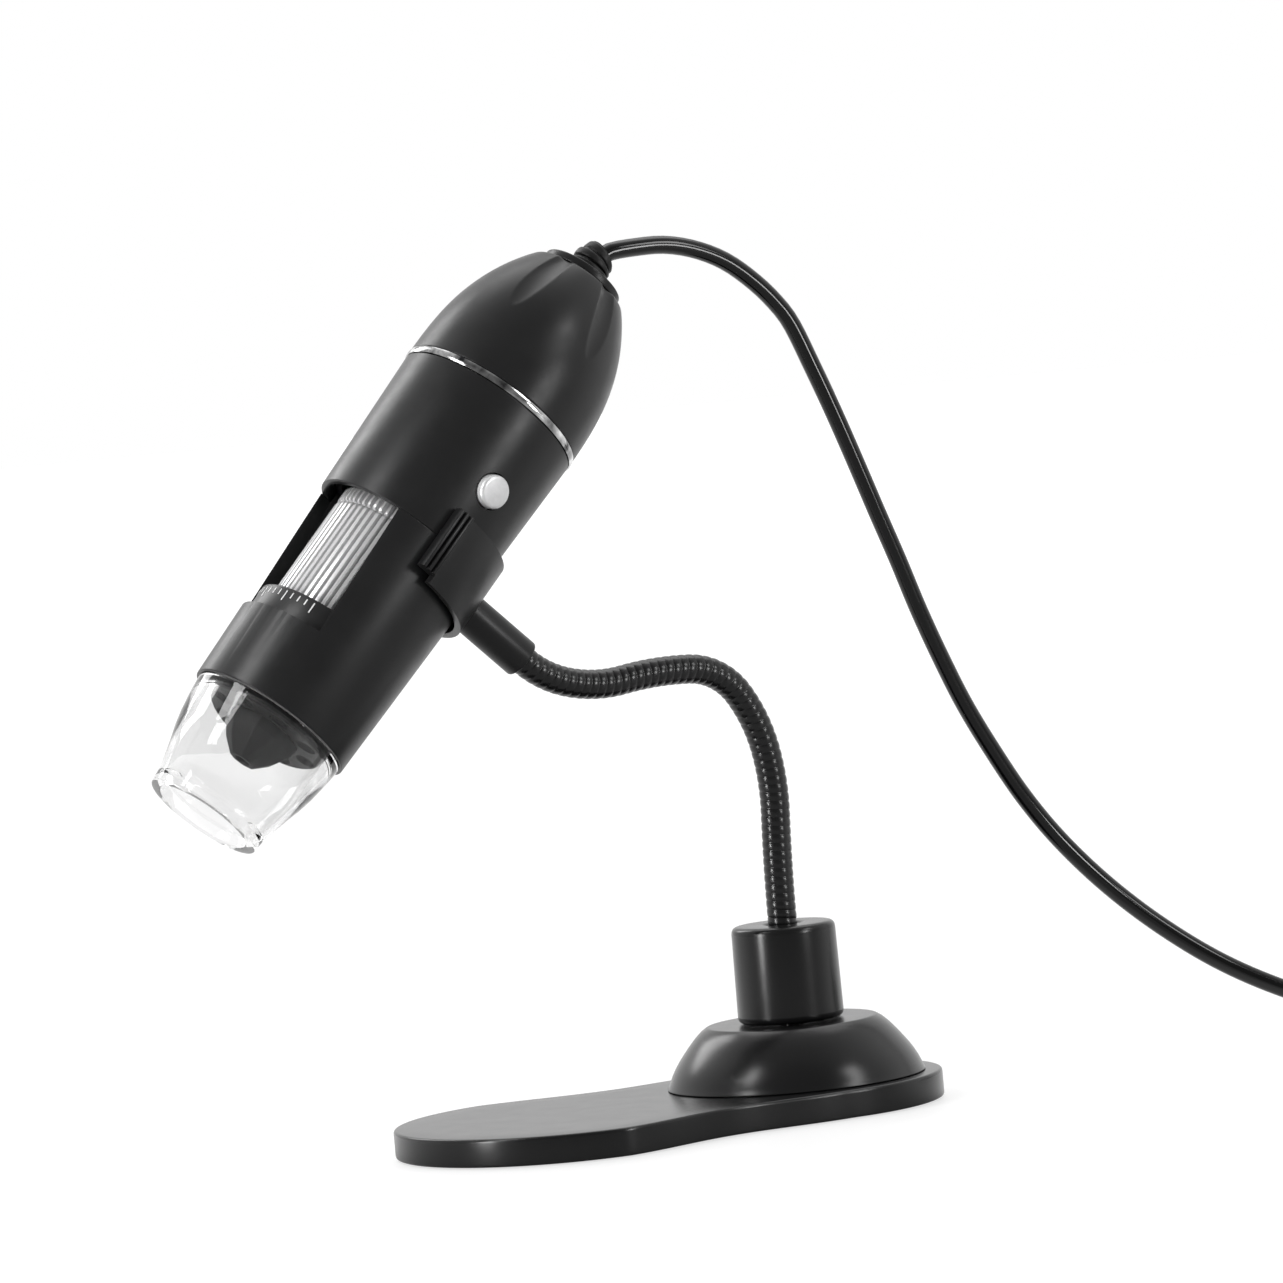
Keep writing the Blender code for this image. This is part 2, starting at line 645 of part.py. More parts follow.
def tail_housing(axis):
    seat = RING_WIDTH / 2 + GAP
    spigot = UPPER_BORE - GAP
    bore = spigot - SPIGOT_WALL
    hole = CAP_SPIGOT_RADIUS + GAP
    outline = [(hole, TAIL_LENGTH), (TAIL_END_RADIUS - EDGE, TAIL_LENGTH)]
    outline += [(tail_radius(TAIL_LENGTH * share), TAIL_LENGTH * share) for share in TAIL_HEIGHT_SHARES]
    outline += [(tail_radius(seat), seat), (spigot, seat), (spigot, seat - TAIL_SPIGOT_LENGTH - RING_WIDTH),
                (bore, seat - TAIL_SPIGOT_LENGTH - RING_WIDTH), (bore, seat)]
    for share in TAIL_INNER_SHARES:
        outline.append((min(bore, tail_radius(TAIL_LENGTH * share) - TAIL_WALL), TAIL_LENGTH * share))
    outline.append((hole, TAIL_LENGTH - TAIL_END_WALL))
    thing = place(turned("tail_housing", outline, "body_black", FINE_SIDES), axis)
    low = TAIL_LENGTH * FLUTE_START_SHARE
    run = Vector((TAIL_END_RADIUS - FLUTE_DEPTH - tail_radius(low), 0, TAIL_LENGTH - low))
    side = Vector((run.z, 0, -run.x)).normalized()
    middle = Vector((tail_radius(low), 0, low)) + run / 2 + side * FLUTE_RADIUS
    lean = math.atan2(run.x, run.z)
    reach = run.length / 2 + OVERRUN
    for k in range(FLUTE_COUNT):
        tool = rod(f"flute_{k + 1}", FLUTE_RADIUS, -reach, reach, "body_black", ROUND_SIDES)
        about = Matrix.Rotation(FLUTE_PHASE + math.tau * k / FLUTE_COUNT, 4, "Z")
        spin = about @ Matrix.Translation(middle) @ Matrix.Rotation(lean, 4, "Y")
        tool.parent = axis
        tool.matrix_local = spin
        cut(thing, cutter(tool))
    return thing


def tail_cap(axis):
    low = TAIL_LENGTH + GAP
    hole = RELIEF_SHANK_RADIUS + GAP
    outline = [(hole, low + CAP_THICKNESS), (CAP_RADIUS - EDGE, low + CAP_THICKNESS),
               (CAP_RADIUS, low + CAP_THICKNESS - EDGE), (CAP_RADIUS, low), (CAP_SPIGOT_RADIUS, low),
               (CAP_SPIGOT_RADIUS, low - CAP_SPIGOT_LENGTH), (hole, low - CAP_SPIGOT_LENGTH)]
    return place(turned("tail_cap", outline, "body_black", MIDDLE_SIDES), axis)


def relief_path():
    """Stations (distance, radius) of the strain relief from the cap outwards, and where it starts to bend."""
    foot = TAIL_LENGTH + GAP + CAP_THICKNESS + GAP
    stations = [(foot - CAP_SPIGOT_LENGTH, RELIEF_SHANK_RADIUS), (foot - MERGE, RELIEF_SHANK_RADIUS)]
    along = foot
    for radius, length in ((RELIEF_FOOT_RADIUS, RELIEF_FOOT_LENGTH), (RELIEF_NECK_RADIUS, RELIEF_NECK_LENGTH),
                           (RELIEF_FIN_RADIUS, RELIEF_FIN_LENGTH), (RELIEF_NECK_RADIUS, RELIEF_NECK_LENGTH),
                           (RELIEF_TOP_FIN_RADIUS, RELIEF_FIN_LENGTH), (RELIEF_NECK_RADIUS, RELIEF_TIP_LENGTH)):
        stations.append((along, radius))
        stations.append((along + length - MERGE, radius))
        along += length
    return stations, foot + RELIEF_FOOT_LENGTH, along - MERGE


def relief_point(along, bend_start, end):
    if along <= bend_start:
        return Vector((0, 0, along)), 0
    angle = RELIEF_BEND * (along - bend_start) / (end - bend_start)
    bend = (end - bend_start) / RELIEF_BEND
    return Vector((bend * (1 - math.cos(angle)), 0, bend_start + bend * math.sin(angle))), angle


def strain_relief(axis):
    """The relief bends down towards the sleeve's side, so it turns back by the twist of the microscope."""
    stations, bend_start, end = relief_path()
    points = [relief_point(along, bend_start, end)[0] for along, _ in stations]
    thing = swept("strain_relief", points, [radius for _, radius in stations], "rubber_black", 4)
    return place(thing, axis, (0, 0, 0), (0, 0, -SCOPE_TWIST))


def chrome_ring(axis):
    half = RING_WIDTH / 2
    edge = EDGE / 2
    outline = [(UPPER_BORE, half), (RING_RADIUS - edge, half), (RING_RADIUS, half - edge),
               (RING_RADIUS, edge - half), (RING_RADIUS - edge, -half), (UPPER_BORE, -half)]
    return place(turned("chrome_ring", outline, "chrome", FINE_SIDES), axis)


def upper_barrel(axis):
    top = RING_WIDTH / 2 + GAP
    bottom = BARREL_SPLIT - GAP / 2
    outline = [(UPPER_BORE, -top), (barrel_radius(top), -top), (barrel_radius(bottom), -bottom),
               (UPPER_BORE, -bottom)]
    thing = place(turned("upper_barrel", outline, "body_black", FINE_SIDES), axis)
    well = rod("button_well", BUTTON_RADIUS + GAP, UPPER_BORE - OVERRUN, RING_RADIUS + OVERRUN, "body_black",
               MIDDLE_SIDES)
    place(cutter(well), axis, (0, 0, -BUTTON_PLACE), (math.pi / 2, 0, 0))
    cut(thing, well)
    return thing


def lower_barrel(axis):
    seat = BARREL_SPLIT + GAP / 2
    spigot = UPPER_BORE - GAP
    bore = spigot - SPIGOT_WALL
    top = seat - LOWER_SPIGOT_LENGTH
    outline = [(bore, -top), (spigot, -top), (spigot, -seat), (barrel_radius(seat), -seat),
               (BARREL_RIM_RADIUS, -BARREL_LENGTH), (RIM_BORE, -BARREL_LENGTH), (RIM_BORE, -LAMP_STEP),
               (LAMP_BORE, -LAMP_STEP), (LAMP_BORE, -PARTITION_BOTTOM), (PARTITION_BORE, -PARTITION_BOTTOM),
               (PARTITION_BORE, -PARTITION_TOP), (bore, -PARTITION_TOP)]
    thing = place(turned("lower_barrel", outline, "body_black", FINE_SIDES), axis)
    reach = BARREL_ROOT_RADIUS + OVERRUN
    depth = WINDOW_HALF_WIDTH * WINDOW_DEPTH_SHARE
    window = block("window", (reach - depth, 2 * WINDOW_HALF_WIDTH, PARTITION_TOP - seat),
                   (-(reach + depth) / 2, 0, -(PARTITION_TOP + seat) / 2), "body_black")
    place(cutter(window), axis)
    cut(thing, window)
    low = PARTITION_TOP + BAND_WIDTH
    recess = tube("band_recess", reach, BAND_FLOOR, -PARTITION_TOP + GAP, -low, "body_black", FINE_SIDES)
    limit = block("band_limit", (reach + OVERRUN, 2 * WINDOW_HALF_WIDTH, 3 * BAND_WIDTH),
                  (-(reach + OVERRUN) / 2, 0, -PARTITION_TOP), "body_black")
    place(cutter(limit), axis)
    place(cutter(recess), axis)
    cut(recess, limit, "INTERSECT")
    cut(thing, recess)
    return thing


def scale_band(axis):
    inner = BAND_FLOOR + GAP
    thing = tube("scale_band", inner + BAND_THICKNESS, inner, -PARTITION_TOP - GAP / 2,
                 -PARTITION_TOP - BAND_WIDTH + GAP, "chip_grey", FINE_SIDES)
    reach = inner + BAND_THICKNESS + OVERRUN
    limit = block("scale_limit", (reach, 2 * (WINDOW_HALF_WIDTH - GAP), 3 * BAND_WIDTH),
                  (-reach / 2, 0, -PARTITION_TOP - BAND_WIDTH / 2), "body_black")
    place(cutter(limit), axis)
    cut(thing, limit, "INTERSECT")
    return place(thing, axis)


def focus_wheel(axis):
    outline = []
    for k in range(2 * WHEEL_RIDGES):
        angle = math.pi * k / WHEEL_RIDGES
        radius = WHEEL_RADIUS - WHEEL_RIDGE_DEPTH * (k % 2)
        outline.append((radius * math.cos(angle), radius * math.sin(angle)))
    top = BARREL_SPLIT + 2 * GAP
    thing = slab("focus_wheel", [outline, circle(CARRIAGE_RADIUS + GAP, MIDDLE_SIDES)], -PARTITION_TOP + GAP, -top,
                 "aluminium")
    return place(thing, axis, thing.location)


def carriage_end():
    """The carriage stops short of the lamp board by its travel."""
    return LAMP_STEP - GAP - CARRIAGE_TRAVEL


def lens_carriage(axis):
    inner = CARRIAGE_RADIUS - CARRIAGE_WALL
    end = carriage_end()
    outline = [(inner, -CARRIAGE_START), (CARRIAGE_RADIUS, -CARRIAGE_START), (CARRIAGE_RADIUS, -end),
               (inner - CARRIAGE_LIP, -end), (inner - CARRIAGE_LIP, -end + CARRIAGE_LIP_LENGTH),
               (inner, -end + CARRIAGE_LIP_LENGTH)]
    return place(turned("lens_carriage", outline, "body_black", MIDDLE_SIDES), axis)


def objective_lens(axis):
    radius = CARRIAGE_RADIUS - CARRIAGE_WALL - GAP
    low = carriage_end() - CARRIAGE_LIP_LENGTH - GAP
    middle = low - LENS_THICKNESS / 2
    wide, high = LENS_SHOULDER_SHARES
    outline = [(0, -middle + LENS_THICKNESS / 2), (radius * wide, -middle + (LENS_THICKNESS + LENS_EDGE) * high),
               (radius, -middle + LENS_EDGE / 2), (radius, -low), (0, -low)]
    return place(turned("objective_lens", outline, "clear", MIDDLE_SIDES), axis)


def boards(axis):
    spigot_top = BARREL_SPLIT + GAP / 2 - LOWER_SPIGOT_LENGTH
    low = spigot_top - GAP
    top = low - BOARD_THICKNESS
    sensor_board = rod("sensor_board", UPPER_BORE - 2 * GAP, -low, -top, "board_green", MIDDLE_SIDES)
    place(sensor_board, axis)
    sensor = block("image_sensor", (SENSOR_SIZE, SENSOR_SIZE, SENSOR_DEPTH), (0, 0, -low - GAP - SENSOR_DEPTH / 2),
                   "chip_grey")
    place(sensor, axis)
    board_low = top - GAP
    board_top = TAIL_SPIGOT_LENGTH + RING_WIDTH / 2 + 2 * GAP
    main = block("main_board", (BOARD_WIDTH, BOARD_THICKNESS, board_low - board_top),
                 (0, BOARD_THICKNESS / 2 - BOARD_PLACE, -(board_low + board_top) / 2), "board_green")
    place(main, axis)
    return main


def button_switch(axis):
    back = BOARD_PLACE + GAP
    thing = block("button_switch", (SWITCH_SIZE, SWITCH_DEPTH, SWITCH_SIZE),
                  (0, -back - SWITCH_DEPTH / 2, -BUTTON_PLACE), "chip_grey")
    place(thing, axis)
    bore = rod("plunger_bore", PLUNGER_RADIUS + GAP, back - OVERRUN, back + SWITCH_DEPTH + OVERRUN, "chip_grey")
    place(cutter(bore), axis, (0, 0, -BUTTON_PLACE), (math.pi / 2, 0, 0))
    cut(thing, bore)
    return thing


def snap_button(axis):
    """The button's own z points out of the barrel, along its travel."""
    out = barrel_radius(BUTTON_PLACE) + BUTTON_PROUD
    inner = BUTTON_FLANGE_OUT - BUTTON_FLANGE_THICKNESS
    outline = [(0, out), (BUTTON_RADIUS - EDGE, out), (BUTTON_RADIUS, out - EDGE), (BUTTON_RADIUS, BUTTON_FLANGE_OUT),
               (BUTTON_FLANGE_RADIUS, BUTTON_FLANGE_OUT), (BUTTON_FLANGE_RADIUS, inner), (0, inner)]
    cap = turned("snap_button", outline, "aluminium", MIDDLE_SIDES)
    place(cap, axis, (0, 0, -BUTTON_PLACE), (math.pi / 2, 0, 0))
    plunger = rod("switch_plunger", PLUNGER_RADIUS, inner - GAP - PLUNGER_LENGTH, inner - GAP, "body_black")
    place(plunger, axis, (0, 0, -BUTTON_PLACE), (math.pi / 2, 0, 0))
    return cap


def lamp(axis):
    top = LAMP_STEP + GAP
    low = top + BOARD_THICKNESS
    board = tube("led_board", RIM_BORE - GAP, LAMP_BOARD_HOLE, -top, -low, "board_green", MIDDLE_SIDES)
    place(board, axis)
    start = low + GAP
    shroud = tube("led_shroud", SHROUD_RADIUS, SHROUD_BORE, -start, -start - SHROUD_DEPTH, "body_black", FINE_SIDES)
    place(shroud, axis)
    for k in range(LED_COUNT):
        angle = math.tau * (k + 0.5) / LED_COUNT
        at = (LED_RING_RADIUS * math.cos(angle), LED_RING_RADIUS * math.sin(angle), 0)
        hole = rod(f"led_hole_{k + 1}", LED_RADIUS + GAP, -start + OVERRUN, -start - SHROUD_DEPTH - OVERRUN, "lamp")
        place(cutter(hole), axis, at)
        cut(shroud, hole)
        tip = start + LED_BODY + LED_RADIUS
        outline = [(0, -start), (LED_RADIUS, -start), (LED_RADIUS, -start - LED_BODY),
                   (LED_RADIUS * math.cos(math.pi / 4), -start - LED_BODY - LED_RADIUS * math.sin(math.pi / 4)),
                   (0, -tip)]
        place(turned(f"led_{k + 1}", outline, "lamp", COARSE_SIDES), axis, at)
    return start


def nose_cone(axis):
    start = LAMP_STEP + GAP + BOARD_THICKNESS + GAP
    shoulder = start + SHROUD_DEPTH + GAP
    post = SHROUD_BORE - GAP
    tip = shoulder + NOSE_LENGTH
    outline = [(NOSE_BORE, -start), (post, -start), (post, -shoulder)]
    outline += [(NOSE_FLANGE_RADIUS * wide, -shoulder - NOSE_LENGTH * share) for share, wide in NOSE_SHARES]
    outline += [(NOSE_TIP_RADIUS, -tip), (NOSE_TIP_BORE, -tip), (NOSE_TIP_BORE, -tip + CAP_THICKNESS),
                (NOSE_BORE, -shoulder)]
    return place(turned("nose_cone", outline, "body_black", NOSE_SIDES), axis)


def clear_snout(axis):
    seat = BARREL_LENGTH + GAP
    spigot = RIM_BORE - GAP
    bore = spigot - SNOUT_SPIGOT_WALL
    end = seat + SNOUT_LENGTH
    lip = SNOUT_LENGTH - SNOUT_LIP_LENGTH
    fall = SNOUT_RADIUS - SNOUT_LIP_RADIUS
    outline = [(bore, -seat + SNOUT_SPIGOT_LENGTH), (spigot, -seat + SNOUT_SPIGOT_LENGTH), (spigot, -seat)]
    wall = []
    for share, wide in SNOUT_WIDTH_SHARES:
        radius = SNOUT_LIP_RADIUS + fall * wide
        outline.append((radius, -seat - lip * share))
        wall.append((min(bore, radius - SNOUT_WALL), -seat - lip * share))
    outline += [(SNOUT_LIP_RADIUS, -end + EDGE), (SNOUT_LIP_RADIUS - EDGE, -end), (SNOUT_MOUTH_RADIUS, -end),
                (SNOUT_MOUTH_RADIUS, -end + SNOUT_MOUTH_LENGTH)]
    outline += list(reversed(wall))
    return place(turned("clear_snout", outline, "clear", FINE_SIDES), axis)


# Cable

def smooth_line(points, step):
    """Points a step apart on a centripetal Catmull-Rom curve through the route's own points."""
    padded = [2 * points[0] - points[1], *points, 2 * points[-1] - points[-2]]
    dense = []
    for a, b, c, d in zip(padded, padded[1:], padded[2:], padded[3:]):
        knots = [0.0]
        for one, two in ((a, b), (b, c), (c, d)):
            knots.append(knots[-1] + math.sqrt((two - one).length))
        for k in range(CABLE_FINE_STEPS):
            t = knots[1] + (knots[2] - knots[1]) * k / CABLE_FINE_STEPS
            ab = a.lerp(b, (t - knots[0]) / (knots[1] - knots[0]))
            bc = b.lerp(c, (t - knots[1]) / (knots[2] - knots[1]))
            cd = c.lerp(d, (t - knots[2]) / (knots[3] - knots[2]))
            abc = ab.lerp(bc, (t - knots[0]) / (knots[2] - knots[0]))
            bcd = bc.lerp(cd, (t - knots[1]) / (knots[3] - knots[1]))
            dense.append(abc.lerp(bcd, (t - knots[1]) / (knots[2] - knots[1])))
    dense.append(points[-1])
    lengths = [0.0]
    for one, two in zip(dense, dense[1:]):
        lengths.append(lengths[-1] + (two - one).length)
    count = round(lengths[-1] / step)
    line = []
    place_in = 0
    for k in range(count + 1):
        wanted = lengths[-1] * k / count
        while place_in < len(lengths) - 2 and lengths[place_in + 1] < wanted:
            place_in += 1
        part = (wanted - lengths[place_in]) / (lengths[place_in + 1] - lengths[place_in])
        line.append(dense[place_in].lerp(dense[place_in + 1], part))
    return line, lengths[-1]


def coil_line():
    """Turns that spiral in on the table, climb one layer in half a turn and spiral out again above."""
    low = CABLE / 2 + COIL_LIFT
    outer = COIL_INNER + COIL_PITCH * COIL_TURNS
    total = COIL_TURNS + COIL_CLIMB_TURNS + COIL_TOP_TURNS
    points = []
    for k in range(round(total * COIL_POINTS) + 1):
        turns = k / COIL_POINTS
        climbed = min(max((turns - COIL_TURNS) / COIL_CLIMB_TURNS, 0), 1)
        if turns <= COIL_TURNS:
            radius = outer - COIL_PITCH * turns
        else:
            radius = COIL_INNER + COIL_PITCH * max(turns - COIL_TURNS - COIL_CLIMB_TURNS, 0)
        angle = math.tau * turns - math.pi / 2
        points.append(COIL_CENTRE + Vector((radius * math.cos(angle), radius * math.sin(angle),
                                            low + COIL_LAYER * climbed)))
    last = points[-1]
    plug_height = PLUG_HEIGHT / 2
    entry = COIL_CENTRE.x + PLUG_PLACE - GAP
    for k in range(1, COIL_END_STEPS + 1):
        share = k / COIL_END_STEPS
        eased = max(0, share - COIL_LEVEL_SHARE) / (1 - COIL_LEVEL_SHARE)
        fall = eased * eased * (3 - 2 * eased)
        points.append(Vector((last.x + (entry - last.x) * share, last.y, last.z + (plug_height - last.z) * fall)))
    return points


def least_gap(points, thickness):
    """The least free distance of a tube to itself, measured between points further apart along it."""
    dense = []
    for one, two in zip(points, points[1:]):
        dense += [one.lerp(two, k / 4) for k in range(4)]
    spots = np.array([tuple(point) for point in dense])
    along = np.concatenate([[0], np.cumsum(np.linalg.norm(np.diff(spots, axis=0), axis=1))])
    least = 1.0
    for k in range(len(spots)):
        far = np.abs(along - along[k]) > 4 * thickness
        if far.any():
            least = min(least, float(np.linalg.norm(spots[far] - spots[k], axis=1).min()))
    return least - thickness


def cable(relief_tip, heading):
    start = relief_tip + heading * LEAD_GAP
    coil = coil_line()
    join = coil[0] - Vector((LEAD_GAP, 0, 0))
    run_out = join - Vector((CABLE, 0, 0))
    curve, lead_length = smooth_line([start + heading * CABLE, *LEAD_ROUTE, run_out], CABLE_STEP)
    lead = [start, *curve, join]
    swept("cable_lead", lead, [CABLE / 2] * len(lead), "cable_black", 2)
    swept("cable_coil", coil, [CABLE / 2] * len(coil), "cable_black", 1)
    coil_length = sum((two - one).length for one, two in zip(coil, coil[1:]))
    print(f"lead {lead_length / MM:.0f} mm in {len(lead)} points, coil {coil_length / MM:.0f} mm, "
          f"least gap {least_gap(coil, CABLE) / MM:.2f} mm")
    return coil[-1]


def plug(end):
    start = end.x + GAP
    front = start + PLUG_LENGTH
    middle = (start + front) / 2
    body = block("plug_overmould", (PLUG_LENGTH, PLUG_WIDTH, PLUG_HEIGHT), (middle, end.y, PLUG_HEIGHT / 2),
                 "rubber_black", 3 * EDGE)
    socket = block("plug_socket", (PLUG_SOCKET + OVERRUN, SHELL_WIDTH + 2 * GAP, SHELL_HEIGHT + 2 * GAP),
                   (front - PLUG_SOCKET / 2 + OVERRUN / 2, end.y, PLUG_HEIGHT / 2), "steel")
    cut(body, cutter(socket))
    shell_start = front - PLUG_SOCKET + GAP
    shell_middle = shell_start + SHELL_LENGTH / 2
    shell = block("plug_shell", (SHELL_LENGTH, SHELL_WIDTH, SHELL_HEIGHT), (shell_middle, end.y, PLUG_HEIGHT / 2),
                  "steel")
    hollow = block("shell_hollow", (SHELL_LENGTH, SHELL_WIDTH - 2 * SHELL_WALL, SHELL_HEIGHT - 2 * SHELL_WALL),
                   (shell_middle + PLUG_SOCKET, end.y, PLUG_HEIGHT / 2), "steel")
    cut(shell, cutter(hollow))
    tongue_start = shell_start + PLUG_SOCKET + GAP
    tongue_end = shell_start + SHELL_LENGTH - TONGUE_SHORT
    tongue_low = PLUG_HEIGHT / 2 - SHELL_HEIGHT / 2 + SHELL_WALL + GAP
    block("plug_tongue", (tongue_end - tongue_start, SHELL_WIDTH - 2 * SHELL_WALL - 2 * GAP, TONGUE_HEIGHT),
          ((tongue_start + tongue_end) / 2, end.y, tongue_low + TONGUE_HEIGHT / 2), "chip_grey")


def scope_axes(neck_end):
    """The clip's axis and, twisted in the clip, the microscope's own axis."""
    back = CLIP_BORE + CLIP_THICKNESS + GAP + SLEEVE_LENGTH
    clip_axis = bpy.data.objects.new("clip_axis", None)
    PARTS.objects.link(clip_axis)
    place(clip_axis, neck_end, (SLEEVE_PLACE, 0, back), (0, math.pi / 2, 0))
    scope_axis = bpy.data.objects.new("scope_axis", None)
    PARTS.objects.link(scope_axis)
    place(scope_axis, clip_axis, (0, 0, 0), (0, 0, SCOPE_TWIST))
    return clip_axis, scope_axis


def main():
    base_plate()
    foot_pad()
    base_dome()
    base_weight()
    base_post()
    base_screw()
    clip_axis, scope_axis = scope_axes(gooseneck())
    holder_clip(clip_axis)
    arm_sleeve(clip_axis)
    for piece in (tail_housing, tail_cap, strain_relief, chrome_ring, upper_barrel, lower_barrel, scale_band,
                  focus_wheel, lens_carriage, objective_lens, boards, button_switch, snap_button, lamp, nose_cone,
                  clear_snout):
        piece(scope_axis)
    bpy.context.view_layer.update()
    _, bend_start, end = relief_path()
    tip, angle = relief_point(end, bend_start, end)
    frame = clip_axis.matrix_world
    heading = (frame.to_3x3() @ Vector((math.sin(angle), 0, math.cos(angle)))).normalized()
    plug(cable(frame @ tip, heading))
    for thing in PARTS.objects:
        if thing.type == "MESH":
            smooth(thing)


clear_scene()
PARTS = collection("usb_digital_microscope")
CUTTERS = collection("cutters")
main()
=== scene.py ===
"""Looks of the USB digital microscope on its gooseneck stand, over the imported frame, in metres.

Pieces of the microscope are made along its own axis, as in the CAD: local z = 0 at the trim ring, +z
towards the tail, -x at the focus window and -y at the button. Then they are put in place and ride on
their body.
"""

import math

import bmesh
import bpy
from mathutils import Matrix, Vector

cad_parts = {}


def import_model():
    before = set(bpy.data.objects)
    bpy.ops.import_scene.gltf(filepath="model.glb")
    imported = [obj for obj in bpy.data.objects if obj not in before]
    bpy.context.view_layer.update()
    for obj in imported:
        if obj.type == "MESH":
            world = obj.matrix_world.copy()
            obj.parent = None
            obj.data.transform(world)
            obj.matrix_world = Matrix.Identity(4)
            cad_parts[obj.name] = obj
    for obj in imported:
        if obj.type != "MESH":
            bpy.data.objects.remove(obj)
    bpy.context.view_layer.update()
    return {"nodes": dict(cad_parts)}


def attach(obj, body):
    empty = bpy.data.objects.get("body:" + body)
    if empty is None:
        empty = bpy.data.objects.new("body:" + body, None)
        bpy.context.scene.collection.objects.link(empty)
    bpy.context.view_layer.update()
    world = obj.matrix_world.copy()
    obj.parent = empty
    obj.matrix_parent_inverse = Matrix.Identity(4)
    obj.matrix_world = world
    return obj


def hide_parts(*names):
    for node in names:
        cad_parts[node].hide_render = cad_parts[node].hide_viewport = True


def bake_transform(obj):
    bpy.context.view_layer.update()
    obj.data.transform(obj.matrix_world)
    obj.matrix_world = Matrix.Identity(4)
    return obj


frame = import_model()

# Unit, three widths of gap, how far cuts run over, tolerances and the place of what isn't moved
MM = 0.001
GAP = 0.3 * MM
FIT = GAP / 2
SEAM = GAP / 3
OVERRUN = 2.0 * MM
MERGE = 0.01 * MM
NEARLY_STRAIGHT = math.radians(150.0)
LEAST_TURN = math.radians(0.01)
HERE = Matrix.Identity(4)

# Camera
CAMERA_PLACE = Vector((-0.58380, -1.09583, 0.14557))
CAMERA_FORWARD = Vector((0.45566, 0.88866, -0.05148))
CAMERA_RIGHT = Vector((0.88396, -0.45855, -0.09136))
CAMERA_LENS = 205.741
CAMERA_SENSOR = 36.0
CAMERA_FAR = 20.0

# Soft boxes, as (name, (aim x, aim z), turn, rise, distance, size, power), the studio and its floor
SOFT_BOXES = (
    ("left_box", (-0.122, 0.038), -48.0, 59.0, 0.25, (0.07, 0.10), 0.24),
    ("left_strip", (0.0, 0.03), -54.0, 4.0, 0.7, (0.07, 0.4), 3.0),
    ("right_box", (-0.040, 0.132), 54.0, 0.0, 0.5, (0.08, 0.12), 0.5),
    ("right_strip", (0.0, 0.02), 61.0, 36.0, 0.7, (0.14, 0.2), 0.65),
    ("rim_box", (-0.08, 0.09), -140.0, 34.0, 1.0, (0.3, 0.5), 2.4),
    ("top_box", (-0.03, 0.08), 170.0, 62.0, 1.0, (0.9, 0.5), 2.2),
)
STUDIO_FADE = (-0.3, 0.65)
STUDIO_FRONT = 0.2
STUDIO_LIGHT = 0.4
FLOOR_RADIUS = 6.0
FLOOR_FADE = (0.3, 2.0)
FLOOR_GLOW = (0.67, 0.90)
FLOOR_COLOUR = (0.30, 0.30, 0.30)
FLOOR_ROUGH = 0.55
WHITE = (1, 1, 1, 1)

# Surfaces: the span that noise is spread over, and the height of each kind of grain
NOISE_SPAN = (0.3, 0.7)
GRAIN = 0.02 * MM
STAND_GRAIN = 0.01 * MM
RUBBER_GRAIN = 0.05 * MM
CABLE_GRAIN = 0.001 * MM
NECK_GRAIN = 0.003 * MM
IRON_GRAIN = 0.1 * MM

# Finishes of moulded plastic, as (gloss, spread of its roughness)
MATT = (0.15, 0.035)
SATIN = (0.35, 0.035)
GLOSSY = (0.42, 0.008)
WET = (0.5, 0.01)

# Moulded plastics by look: (name, dark, light, roughness, height of grain, finish)
PLASTICS = {
    "body": ("body_plastic", (0.0105, 0.0105, 0.0108), (0.0125, 0.0125, 0.0128), 0.34, GRAIN, SATIN),
    "stand": ("stand_plastic", (0.006, 0.006, 0.0062), (0.007, 0.007, 0.0072), 0.24, STAND_GRAIN, GLOSSY),
    "nose": ("nose_plastic", (0.008, 0.008, 0.0082), (0.011, 0.011, 0.0113), 0.5, GRAIN, MATT),
    "rubber": ("soft_rubber", (0.008, 0.008, 0.008), (0.011, 0.011, 0.011), 0.45, RUBBER_GRAIN, SATIN),
    "cable": ("cable_sheath", (0.001, 0.001, 0.0011), (0.0016, 0.0016, 0.0017), 0.14, CABLE_GRAIN, WET),
    "neck": ("neck_coating", (0.005, 0.005, 0.0052), (0.008, 0.008, 0.0083), 0.24, NECK_GRAIN, WET),
    "board": ("board_lacquer", (0.012, 0.075, 0.035), (0.02, 0.11, 0.05), 0.4, GRAIN, SATIN),
    "chip": ("chip_resin", (0.03, 0.03, 0.032), (0.05, 0.05, 0.052), 0.45, GRAIN, SATIN),
    "band": ("band_plastic", (0.012, 0.012, 0.0123), (0.016, 0.016, 0.0163), 0.35, GRAIN, SATIN),
    "ink": ("tick_paint", (0.66, 0.66, 0.66), (0.74, 0.74, 0.74), 0.5, GRAIN, SATIN),
}

# Roundness of turned pieces
FINE = 160
MIDDLE = 96
COARSE = 40

# The trim ring's centre, the tail's heading and the microscope's twist in its clip
RING_CENTRE = Vector((-0.046377, 0.0, 0.123371))
TAIL_HEADING = Vector((0.69088, 0.0, 0.72297))
SCOPE_TWIST = math.radians(10.8)

